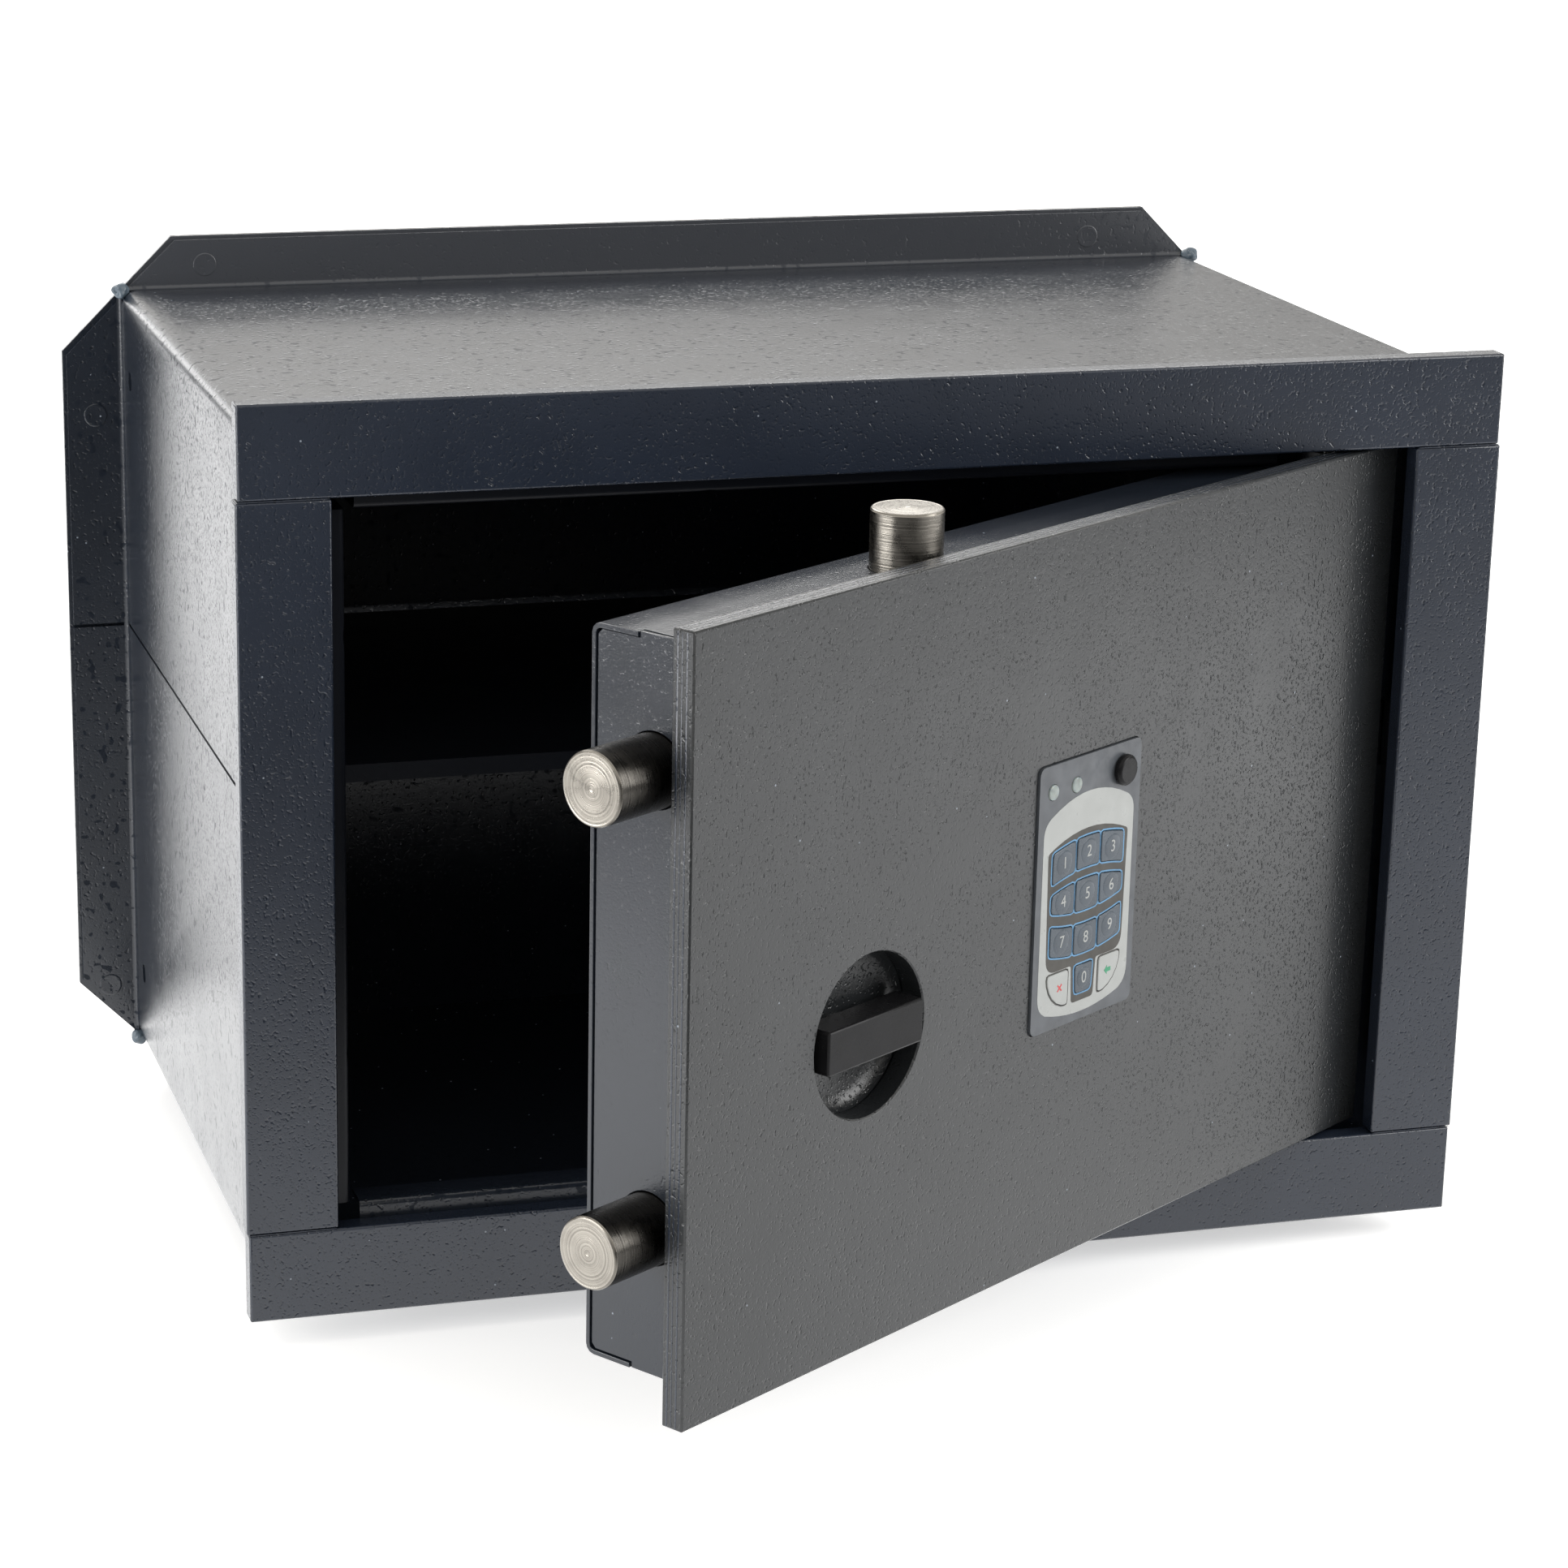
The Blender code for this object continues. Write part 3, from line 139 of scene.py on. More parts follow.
class Shader(Nodes):
    """A material, its object-space place and the patterns built on it."""

    def __init__(self, name):
        self.material = bpy.data.materials.new(name)
        self.material.use_nodes = True
        super().__init__(self.material.node_tree)
        self.surface = self.tree.nodes["Principled BSDF"]
        self.place = self.add("ShaderNodeTexCoord").outputs["Object"]

    def noise(self, scale, detail=2.0, stretch=None):
        """Smooth noise from 0 to 1, with features of about 1 / scale metres."""
        node = self.add("ShaderNodeTexNoise")
        source = self.place
        if stretch:
            mapping = self.add("ShaderNodeMapping")
            mapping.inputs["Scale"].default_value = stretch
            self.feed(mapping.inputs["Vector"], source)
            source = mapping.outputs[0]
        self.feed(node.inputs["Vector"], source)
        node.inputs["Scale"].default_value = scale
        node.inputs["Detail"].default_value = detail
        return node.outputs["Fac"]

    def cells(self, scale):
        """Distance from the nearest cell centre, in cells, and a random number of that cell."""
        node = self.add("ShaderNodeTexVoronoi")
        self.feed(node.inputs["Vector"], self.place)
        node.inputs["Scale"].default_value = scale
        split = self.add("ShaderNodeSeparateColor")
        self.feed(split.inputs[0], node.outputs["Color"])
        return node.outputs["Distance"], split.outputs[0]

    def bump(self, height, depth, below=None):
        """Bump with a real depth in metres."""
        node = self.add("ShaderNodeBump")
        node.inputs["Distance"].default_value = depth
        self.feed(node.inputs["Height"], height)
        if below is not None:
            self.feed(node.inputs["Normal"], below)
        return node.outputs[0]

    def finish(self, colour, roughness, metallic=0.0, normal=None, **extra):
        """Join the patterns to the surface and hand back the material."""
        self.feed(self.surface.inputs["Base Color"], colour)
        self.feed(self.surface.inputs["Roughness"], roughness)
        self.surface.inputs["Metallic"].default_value = metallic
        if normal is not None:
            self.feed(self.surface.inputs["Normal"], normal)
        for key, value in extra.items():
            self.feed(self.surface.inputs[key.replace("_", " ")], value)
        return self.material


def powder_paint(name, colour, roughness, pits, depth, fineness=1.0, specks=0.5, grain=1.0, wave=1.0,
                 specular=0.5, flecks=0.0, painted_light_above=None):
    """Semi-gloss powder paint.

    pits says how many shallow dents there are and depth how deep they are in millimetres; specks are
    pale grains of dirt, flecks are dull spots, and above the height in the last argument the paint is
    painted paler, a painted highlight for the light on the top panel and the upper flange.
    """
    s = Shader(name)

    # Dents in two sizes, gathered in patches, over a fine grain and a slow ripple.
    start = 0.64 - 0.08 * pits
    dents = s.ramp(s.noise(620 * fineness, 0), start, start + 0.34)
    small = s.ramp(s.noise(1050 * fineness, 0), start + 0.02, start + 0.40)
    hollows = s.math("ADD", dents, s.math("MULTIPLY", small, 0.5))
    hollows = s.math("MULTIPLY", hollows, s.ramp(s.noise(30, 2), 0.30, 0.45, 0.4, 1.0))
    fine = s.bump(s.noise(1600, 1), 0.000014 * grain)
    ripples = s.bump(s.noise(560, 1), 0.00004 * wave, fine)
    normal = s.bump(s.math("SUBTRACT", 1.0, hollows), depth * MM, ripples)

    # Colour: faint clouds, painted shade in the dents, pale specks, and a painted highlight that makes
    # the paint paler on the highest parts.
    low = tuple(c * 0.94 for c in colour)
    high = tuple(c * 1.06 for c in colour)
    base = s.mix(s.ramp(s.noise(35, 3), 0.3, 0.7), low, high)
    # Painted shade: the dents are darkened towards half the paint's colour.
    base = s.mix(s.math("MULTIPLY", hollows, 0.5), base, tuple(c * 0.5 for c in colour))
    distance, chance = s.cells(310)
    near = s.math("LESS_THAN", distance, 0.10)
    speck = s.math("MULTIPLY", near, s.math("LESS_THAN", chance, 0.06 * specks))
    base = s.mix(s.math("MULTIPLY", speck, 0.8), base, (0.30, 0.34, 0.40))
    # Painted highlight: above the given height the paint turns paler, standing in for the light on the
    # top panel and the upper flange.
    if painted_light_above is not None:
        split = s.add("ShaderNodeSeparateXYZ")
        s.feed(split.inputs[0], s.place)
        painted_top_light = s.ramp(split.outputs["Z"], painted_light_above, painted_light_above + 2 * MM)
        base = s.mix(painted_top_light, base, (0.055, 0.059, 0.068))

    # Shine: slightly uneven, and lost in the flecks.
    rough = s.ramp(s.noise(50, 3), 0.3, 0.7, roughness * 0.94, roughness * 1.07)
    dull = s.math("MULTIPLY", s.ramp(s.noise(360, 0), 0.70, 0.74), flecks)
    shine = s.math("MULTIPLY", s.math("SUBTRACT", 1.0, dull), specular)
    return s.finish(base, rough, normal=normal, IOR=1.55, Specular_IOR_Level=shine)


def nickel(name, axis, centre, length, side):
    """Turned and nickel-plated steel: rings on the end and fine lines round the side, with painted shade
    in their grooves, faint stains, and painted shade on the round side.

    centre is the bolt's root and axis points to its end face; side is how much of the plain colour the
    round side keeps, the rest being painted shade towards near black.
    """
    s = Shader(name)
    offset = s.add("ShaderNodeVectorMath", operation="SUBTRACT")
    s.feed(offset.inputs[0], s.place)
    offset.inputs[1].default_value = centre
    along = s.add("ShaderNodeVectorMath", operation="DOT_PRODUCT")
    s.feed(along.inputs[0], offset.outputs[0])
    along.inputs[1].default_value = axis
    shift = s.add("ShaderNodeVectorMath", operation="SCALE")
    shift.inputs[0].default_value = axis
    s.feed(shift.inputs["Scale"], along.outputs["Value"])
    across = s.add("ShaderNodeVectorMath", operation="SUBTRACT")
    s.feed(across.inputs[0], offset.outputs[0])
    s.feed(across.inputs[1], shift.outputs[0])

    # The same lines run round the axis on the end and along it on the side.
    radial = s.add("ShaderNodeVectorMath", operation="LENGTH")
    s.feed(radial.inputs[0], across.outputs[0])
    rings = s.add("ShaderNodeTexNoise", noise_dimensions="1D")
    s.feed(rings.inputs["W"], s.math("ADD", radial.outputs["Value"], along.outputs["Value"]))
    rings.inputs["Scale"].default_value = 1900
    rings.inputs["Detail"].default_value = 3
    normal = s.bump(rings.outputs["Fac"], 0.00008)
    stain = s.ramp(s.noise(170, 4), 0.42, 0.72)
    base = s.mix(stain, (0.33, 0.308, 0.272), (0.28, 0.26, 0.23))
    # Painted shade: the turned grooves are darkened.
    base = s.mix(s.ramp(rings.outputs["Fac"], 0.35, 0.6, 0.5, 0.0), base, (0.10, 0.092, 0.08))
    # Painted shade: the round side is darkened towards near black by side; the end face keeps the plain
    # colour.
    face = s.ramp(along.outputs["Value"], length - 0.9 * MM, length - 0.5 * MM)
    base = s.mix(face, s.mix(side, (0.02, 0.019, 0.018), base), base)
    rough = s.ramp(s.noise(420, 3), 0.3, 0.7, 0.24, 0.34)
    return s.finish(base, rough, 1.0, normal)


def zinc(name):
    """Zinc-plated sheet steel with rolling lines and a mottled shine."""
    s = Shader(name)
    normal = s.bump(s.noise(700, 2, stretch=(1, 1, 14)), 0.00003)
    base = s.mix(s.ramp(s.noise(90, 4), 0.35, 0.65), (0.56, 0.57, 0.58), (0.43, 0.44, 0.43))
    return s.finish(base, s.ramp(s.noise(160, 3), 0.3, 0.7, 0.28, 0.46), 1.0, normal)


def plastic(name, colour, roughness, grain=1.0, variation=0.12, specular=0.5):
    """Moulded plastic with a fine grain and handling marks."""
    s = Shader(name)
    normal = s.bump(s.noise(3200, 2), 0.00001 * grain)
    shade = s.ramp(s.noise(120, 3), 0.3, 0.7)
    low = tuple(c * (1 - variation) for c in colour)
    high = tuple(min(1.0, c * (1 + variation)) for c in colour)
    rough = s.ramp(s.noise(260, 4), 0.3, 0.7, roughness * 0.8, roughness * 1.25)
    return s.finish(s.mix(shade, low, high), rough, normal=normal, Specular_IOR_Level=specular)


def lens():
    """Frosted lamp lens."""
    s = Shader("frosted_lens")
    normal = s.bump(s.noise(2400, 2), 0.00002)
    base = s.mix(s.ramp(s.noise(500, 2), 0.3, 0.7), (0.24, 0.25, 0.245), (0.33, 0.335, 0.32))
    return s.finish(base, 0.28, normal=normal, Subsurface_Weight=0.2)


# ---------------------------------------------------------------- mesh building blocks

def new_piece(name, bm, matrix, material, body, smooth_angle=35):
    """Turn a bmesh in a local frame into a piece that rides on a body."""
    bmesh.ops.recalc_face_normals(bm, faces=bm.faces)
    mesh = bpy.data.meshes.new(name)
    bm.to_mesh(mesh)
    bm.free()
    mesh.transform(matrix)
    mesh.shade_smooth()
    mesh.set_sharp_from_angle(angle=radians(smooth_angle))
    mesh.materials.append(material)
    piece = bpy.data.objects.new(name, mesh)
    bpy.context.scene.collection.objects.link(piece)
    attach(piece, body)
    return piece


def prism(bm, outline, low, high, holes=()):
    """Add an upright XZ outline, with holes, given a depth from low to high."""
    edges = []
    for loop in (outline, *holes):
        verts = [bm.verts.new((x, low, z)) for x, z in loop]
        edges += [bm.edges.new((verts[i - 1], verts[i])) for i in range(len(verts))]
    before = set(bm.faces)
    bmesh.ops.triangle_fill(bm, edges=edges, use_beauty=True)
    faces = [f for f in bm.faces if f not in before]
    raised = bmesh.ops.extrude_face_region(bm, geom=faces)["geom"]
    top = [v for v in raised if isinstance(v, bmesh.types.BMVert)]
    bmesh.ops.translate(bm, verts=top, vec=(0, high - low, 0))


def revolve(bm, profile, steps):
    """Add a closed turned shape from (radius, height) points about Z, ends closed."""
    rings = [[bm.verts.new((r * cos(2 * pi * i / steps), r * sin(2 * pi * i / steps), h))
              for i in range(steps)] for r, h in profile]
    for low, high in zip(rings, rings[1:]):
        for i in range(steps):
            bm.faces.new((low[i - 1], low[i], high[i], high[i - 1]))
    bm.faces.new(rings[0])
    bm.faces.new(rings[-1])


def grow(outline, distance):
    """Push every point of a counter-clockwise outline outwards."""
    points = [Vector(p) for p in outline]
    out = []
    for i, p in enumerate(points):
        a = (p - points[i - 1]).normalized()
        b = (points[(i + 1) % len(points)] - p).normalized()
        normal = Vector((a.y + b.y, -a.x - b.x))
        out.append(tuple(p + normal.normalized() * distance / max(0.5, normal.length / 2)))
    return out


def round_corners(points, radii, steps=6):
    """Replace each corner by a curve that starts and ends at the given distance from it."""
    vectors = [Vector(p) for p in points]
    rounded = []
    for i, (corner, radius) in enumerate(zip(vectors, radii)):
        if not radius:
            rounded.append(tuple(corner))
            continue
        start = corner + (vectors[i - 1] - corner).normalized() * radius
        end = corner + (vectors[(i + 1) % len(vectors)] - corner).normalized() * radius
        for k in range(steps + 1):
            t = k / steps
            rounded.append(tuple(start * (1 - t) ** 2 + corner * 2 * t * (1 - t) + end * t * t))
    return rounded


def front_outline(node):
    """The front face's outline of a door node, counter-clockwise in x and z of the door's frame."""
    mesh = nodes[node].data
    local = [DOOR_INVERSE @ v.co for v in mesh.vertices]
    front = min(p.y for p in local)

    def key(index):
        return (round(local[index].x, 6), round(local[index].z, 6))

    count = {}
    for face in mesh.polygons:
        if all(local[i].y < front + 0.05 * MM for i in face.vertices):
            ring = [key(i) for i in face.vertices]
            for i in range(len(ring)):
                edge = frozenset((ring[i - 1], ring[i]))
                count[edge] = count.get(edge, 0) + 1
    links = {}
    for edge, times in count.items():
        if times == 1 and len(edge) == 2:
            a, b = edge
            links.setdefault(a, []).append(b)
            links.setdefault(b, []).append(a)
    start = min(links)
    loop = [start, links[start][0]]
    while True:
        step = next(p for p in links[loop[-1]] if p != loop[-2])
        if step == start:
            break
        loop.append(step)
    area = sum(loop[i - 1][0] * loop[i][1] - loop[i][0] * loop[i - 1][1] for i in range(len(loop)))
    return loop if area > 0 else loop[::-1]


def surface_group(name, smooth_degrees):
    """Geometry nodes that join split corners and shade smooth below an angle."""
    group = bpy.data.node_groups.new(name, "GeometryNodeTree")
    group.interface.new_socket("Geometry", in_out="INPUT", socket_type="NodeSocketGeometry")
    group.interface.new_socket("Geometry", in_out="OUTPUT", socket_type="NodeSocketGeometry")
    add = group.nodes.new
    link = group.links.new
    source, target = add("NodeGroupInput"), add("NodeGroupOutput")
    forget = add("GeometryNodeRemoveAttribute")
    forget.inputs["Name"].default_value = "custom_normal"
    merge = add("GeometryNodeMergeByDistance")
    merge.inputs["Distance"].default_value = 0.002 * MM
    all_smooth = add("GeometryNodeSetShadeSmooth")
    sharp = add("GeometryNodeSetShadeSmooth")
    sharp.domain = "EDGE"
    sharp.inputs["Shade Smooth"].default_value = False
    angle = add("GeometryNodeInputMeshEdgeAngle")
    compare = add("FunctionNodeCompare")
    compare.operation = "GREATER_THAN"
    compare.inputs[1].default_value = radians(smooth_degrees)
    link(source.outputs[0], forget.inputs["Geometry"])
    link(forget.outputs[0], merge.inputs["Geometry"])
    link(merge.outputs[0], all_smooth.inputs["Geometry"])
    link(all_smooth.outputs[0], sharp.inputs["Geometry"])
    link(angle.outputs["Unsigned Angle"], compare.inputs[0])
    link(compare.outputs[0], sharp.inputs["Selection"])
    link(sharp.outputs[0], target.inputs[0])
    return group


CLEAN = surface_group("clean_surface", 40)


def dress(node, material, bevel=0.35 * MM):
    """Give a CAD node its finish, softly rounded edges and smooth round faces."""
    piece = nodes[node]
    piece.data.materials.clear()
    piece.data.materials.append(material)
    piece.modifiers.new("clean", "NODES").node_group = CLEAN
    if bevel:
        flat = piece.modifiers.new("flat", "DECIMATE")
        flat.decimate_type = "DISSOLVE"
        flat.angle_limit = radians(0.5)
        rounding = piece.modifiers.new("rounding", "BEVEL")
        rounding.width = bevel
        rounding.segments = 2
        rounding.limit_method = "ANGLE"
        rounding.angle_limit = radians(40)
        piece.modifiers.new("shading", "NODES").node_group = CLEAN


# ---------------------------------------------------------------- painted steel

ANTHRACITE = (0.013, 0.017, 0.025)
PAINT = powder_paint("anthracite_paint", (0.016, 0.022, 0.036), 0.25, 0.70, 0.17, 1.5, wave=0.4)
DOOR_PAINT = powder_paint("door_paint", (0.019, 0.021, 0.023), 0.30, 0.66, 0.22, 1.5, wave=1.2)
# The sheet paint gets a painted highlight above 140 mm, on the top panel and the upper flange.
SHEET_PAINT = powder_paint("sheet_paint", ANTHRACITE, 0.22, 0.45, 0.11, 1.3, specks=2.0, grain=1.5,
                           wave=0.04, flecks=0.75, painted_light_above=140 * MM)
CASE_PAINT = powder_paint("case_paint", ANTHRACITE, 0.24, 0.3, 0.06, 1.5, grain=2.5, wave=0.3)
# Painted shade: the parts inside the body get a much darker, duller copy of the paint, standing in for
# the shade in there.
SHADED_INSIDE_PAINT = powder_paint("inside_paint_painted_shade", (0.006, 0.007, 0.010), 0.35, 0.1, 0.05, 1.5, specks=0.1,
                            wave=0.3, specular=0.15)
WELD_PAINT = powder_paint("weld_paint", (0.08, 0.11, 0.14), 0.34, 0.5, 0.3, 1.0, specks=3.0)
ZINC = zinc("zinc_plated")
BLACK = plastic("black_plastic", (0.010, 0.010, 0.011), 0.24, specular=0.14)
HOUSING = plastic("keypad_grey", (0.075, 0.083, 0.095), 0.36)
KEY = plastic("key_blue_grey", (0.045, 0.062, 0.082), 0.26)
WHITE = plastic("print_white", (0.37, 0.385, 0.38), 0.34, variation=0.03)
FIELD = plastic("print_dark", (0.055, 0.052, 0.046), 0.36, specular=0.3)
BLUE = plastic("print_blue", (0.09, 0.25, 0.44), 0.32)
GREEN = plastic("print_green", (0.03, 0.25, 0.13), 0.35)
RED = plastic("print_red", (0.50, 0.035, 0.04), 0.35)
BOARD = plastic("solder_mask", (0.015, 0.13, 0.05), 0.35)
WRAP = plastic("battery_wrap", (0.03, 0.03, 0.035), 0.3)
COIL_CAN = zinc("solenoid_can")


def dress_cad_nodes():
    """Every CAD node that stays gets its finish."""
    for node in ("frame_top_bar", "frame_bottom_bar", "frame_left_bar", "frame_right_bar"):
        dress(node, PAINT, 0.3 * MM)
    # Painted shade: the shelf, keepers and hinge parts inside take the darker inside paint.
    for node in ("shelf", "bolt_keeper_left", "bolt_keeper_top", "hinge_bracket_upper",
                 "hinge_bracket_lower", "hinge_lug_upper", "hinge_lug_lower"):
        dress(node, SHADED_INSIDE_PAINT, 0)
    dress("lock_chassis", CASE_PAINT, 0.2 * MM)
    dress("rear_cover", CASE_PAINT, 0.2 * MM)
    for node in ("upper_shell", "lower_shell", "back_panel", "door_sill", "seam_strip_left",
                 "seam_strip_right"):
        dress(node, SHEET_PAINT, 0.2 * MM)
    dress("door_plate", DOOR_PAINT, 0.35 * MM)
    dress("knob_cup", DOOR_PAINT, 0)
    for node in ("hinge_pin_upper", "hinge_pin_lower", "bolt_guide_upper", "bolt_guide_lower",
                 "bolt_guide_top", "knob_spindle", "cam_disc", "spindle_clip", "bolt_carriage",
                 "top_bolt_link", "solenoid_plunger", "cover_screw_upper", "cover_screw_lower"):
        dress(node, ZINC, 0.15 * MM)
    dress("solenoid_body", COIL_CAN, 0.3 * MM)
    dress("knob_grip", BLACK, 0.7 * MM)
    dress("battery_box", BLACK, 0.2 * MM)
    dress("battery_lid", BLACK, 0.3 * MM)
    dress("battery_pack", WRAP, 0.8 * MM)
    dress("circuit_board", BOARD, 0.1 * MM)
    dress("keypad_housing", HOUSING, 0.25 * MM)
    dress("socket_cap", BLACK, 0.3 * MM)
    for node in ("lamp_left", "lamp_right"):
        dress(node, lens(), 0.2 * MM)
    for node in nodes:
        if node.startswith("key_"):
            dress(node, WHITE if node in ("key_clear", "key_enter") else KEY, 0.3 * MM)


# ---------------------------------------------------------------- bolts

def make_bolt(node, body, direction, side):
    """A turned bolt with a chamfer, shallow rings on its end and a pip left by the lathe."""
    points = [v.co for v in nodes[node].data.vertices]
    centre = sum(points, Vector()) / len(points)
    along = [(p - centre).dot(direction) for p in points]
    root = centre + direction * min(along)
    length = max(along) - min(along)
    radius = max(((p - centre) - direction * (p - centre).dot(direction)).length for p in points)
    chamfer = 0.7 * MM
    groove = 0.06 * MM
    profile = [(0.2 * MM, 0), (radius - chamfer, 0), (radius, chamfer), (radius, length - chamfer)]
    profile += [(radius - chamfer * 0.4, length - chamfer * 0.25), (radius - chamfer, length)]
    ring_radius = radius - chamfer
    while ring_radius > 1.6 * MM:
        profile += [(ring_radius - 0.35 * MM, length - groove), (ring_radius - 0.8 * MM, length)]
        ring_radius -= 1.4 * MM
    profile += [(0.9 * MM, length), (0.5 * MM, length - 3 * groove), (0.2 * MM, length - 3 * groove)]
    bm = bmesh.new()
    revolve(bm, profile, 128)
    turn = direction.to_track_quat("Z", "Y").to_matrix().to_4x4()
    finish = nickel("nickel_" + node, tuple(direction), tuple(root), length, side)
    piece = new_piece(node + "_turned", bm, Matrix.Translation(root) @ turn, finish, body, 25)
    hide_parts(node)


def make_bolts():
    """The three visible bolts. The sides of the left ones lie in shade, so their colour gets more painted
    shade than the top bolt's.
    """
    left = -Vector(joints["left_bolts_slide"]["axis"])
    # Painted shade on the round sides: 0.22 keeps little of the plain colour, 0.75 most of it.
    make_bolt("bolt_left_upper", "left_bolts", left, 0.22)
    make_bolt("bolt_left_lower", "left_bolts", left, 0.22)
    make_bolt("bolt_top", "top_bolt", -Vector(joints["top_bolt_slide"]["axis"]), 0.75)


# ---------------------------------------------------------------- plate edges

def strip(bm, low, high):
    """A thin bar between two corners, with its edges rounded off."""
    made = bmesh.ops.create_cube(bm, size=1)["verts"]
    bmesh.ops.scale(bm, verts=made, vec=Vector(high) - Vector(low))
    bmesh.ops.translate(bm, verts=made, vec=(Vector(high) + Vector(low)) / 2)
    edges = {edge for vert in made for edge in vert.link_edges}
    bmesh.ops.bevel(bm, geom=list(edges), offset=0.04 * MM, segments=2, affect="EDGES", profile=0.5)


def make_edge_lines():
    """Fine raised lines that the paint leaves along the plate's two free edges."""
    low, high = door_box("door_plate")
    reach = 0.05 * MM
    end_gap = 0.6 * MM
    for number, (depth, width) in enumerate(((2.2, 0.6), (4.1, 0.4), (5.6, 0.7))):
        near, far = low.y + depth * MM, low.y + (depth + width) * MM
        bm = bmesh.new()
        strip(bm, (low.x - reach, near, low.z + end_gap), (low.x + reach, far, high.z - end_gap))
        strip(bm, (low.x + end_gap, near, high.z - reach), (high.x - end_gap, far, high.z + reach))
        new_piece("edge_line_%d" % number, bm, DOOR, PAINT, "door", 40)


# ---------------------------------------------------------------- keypad

SKIN = 0.06 * MM
DOME_HEIGHT = 0.22 * MM
DIGIT_HEIGHT = 5.4 * MM
WELL_GAP = 0.5 * MM
RING_GAP = 0.22 * MM


def printed(name, outlines, holes, front, material, body, thickness=SKIN):
    """A thin printed layer standing on a front face."""
    bm = bmesh.new()
    for outline in outlines:
        prism(bm, outline, front, front - thickness, holes)
    return new_piece(name, bm, DOOR, material, body)


def shield_outline(middle):
    """The pale shield: arched at the top and the bottom, upright sides, round corners."""
    half, top, bottom = 23.5 * MM, 31.3 * MM, -40.7 * MM
    shoulder, hip = 24.2 * MM, -36.5 * MM
    count = 12    # stretches of each arch
    xs = [half * (1 - 2 * i / count) for i in range(count + 1)]
    upper = [(x, top - (top - shoulder) * (x / half) ** 2) for x in xs]
    lower = [(-x, bottom - (bottom - hip) * (x / half) ** 2) for x in xs]
    radii = [4 * MM] + [0] * (count - 1) + [4 * MM] + [5.5 * MM] + [0] * (count - 1) + [5.5 * MM]
    points = round_corners(upper + lower, radii)
    points = [p for i, p in enumerate(points) if not crossed(points, i)]
    return [(middle.x + x, middle.z + z) for x, z in points]


def crossed(points, index):
    """True for a point that a corner's curve has already passed by."""
    before, point = Vector(points[index - 1]), Vector(points[index])
    return (point - before).length < 0.02 * MM


def field_outline(middle):
    """The dark field round the number keys, with the tab round the 0 key."""
    half, low_half, top, bottom = 20.8 * MM, 19.8 * MM, 19.4 * MM, -24.4 * MM
    tab, tab_low, tab_bottom = 6.5 * MM, 5.7 * MM, -37.0 * MM
    shoulder = 14.8 * MM
    count = 10    # stretches of the arch
    across = [1 - 2 * i / count for i in range(count + 1)]
    arch = [(half * x, top - (top - shoulder) * x ** 2) for x in across]
    points = [*arch, (-low_half, bottom), (-tab, bottom), (-tab_low, tab_bottom),
              (tab_low, tab_bottom), (tab, bottom), (low_half, bottom)]
    radii = [0] * len(arch) + [5 * MM, 1 * MM, 1.5 * MM, 1.5 * MM, 1 * MM, 5 * MM]
    radii[0] = radii[count] = 1.2 * MM
    return [(middle.x + x, middle.z + z) for x, z in round_corners(points, radii)]


def key_text(name, text, centre, front, body):
    """A white digit standing on a key."""
    curve = bpy.data.curves.new(name, "FONT")
    curve.body = text
    curve.size = DIGIT_HEIGHT
    curve.align_x = "CENTER"
    curve.align_y = "CENTER"
    curve.extrude = 0.02 * MM
    curve.materials.append(WHITE)
    piece = bpy.data.objects.new(name, curve)
    bpy.context.scene.collection.objects.link(piece)
    stand = Matrix.Translation((centre[0], front, centre[1])) @ Matrix.Rotation(pi / 2, 4, "X")
    piece.matrix_world = DOOR @ stand
    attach(piece, body)


def dome(name, centre, front, radius, material, body):
    """A low round swelling on a key."""
    bm = bmesh.new()
    profile = [(radius * cos(a), DOME_HEIGHT * sin(a)) for a in (i * pi / 16 for i in range(8))]
    revolve(bm, profile, 32)
    base = Matrix.Translation((centre[0], front + 0.02 * MM, centre[1]))
    stand = base @ Matrix.Rotation(pi / 2, 4, "X")
    new_piece(name, bm, DOOR @ stand, material, body, 60)


def make_keypad():
    """The printed layers, the rings round the keys, and the domes, digits and marks on them."""
    low, high = door_box("keypad_housing")
    middle = (low + high) / 2
    outlines = {node[4:]: front_outline(node) for node in nodes if node.startswith("key_")}
    centres = {}
    for key, outline in outlines.items():
        xs, zs = [p[0] for p in outline], [p[1] for p in outline]
        centres[key] = ((min(xs) + max(xs)) / 2, (min(zs) + max(zs)) / 2)
    wells = [grow(outline, WELL_GAP) for outline in outlines.values()]
    number_wells = [grow(outlines[str(digit)], WELL_GAP) for digit in range(10)]
    printed("print_shield", [shield_outline(middle)], wells, low.y, WHITE, "door")
    printed("print_field", [field_outline(middle)], number_wells, low.y - SKIN * 0.5, FIELD, "door")
    for key, outline in outlines.items():
        ring = BLUE if key.isdigit() else FIELD
        width = 0.72 if key.isdigit() else 0.5
        printed("print_edge_" + key, [grow(outline, width * MM)], [grow(outline, RING_GAP)],
                low.y - SKIN, ring, "door")
    for digit in range(10):
        key = str(digit)
        front = door_box("key_" + key)[0].y
        radius = 4.1 * MM if digit else 3.4 * MM
        dome("dome_" + key, centres[key], front, radius, KEY, "button_" + key)
        key_text("digit_" + key, key, centres[key], front - DOME_HEIGHT, "button_" + key)
    make_marks(centres)


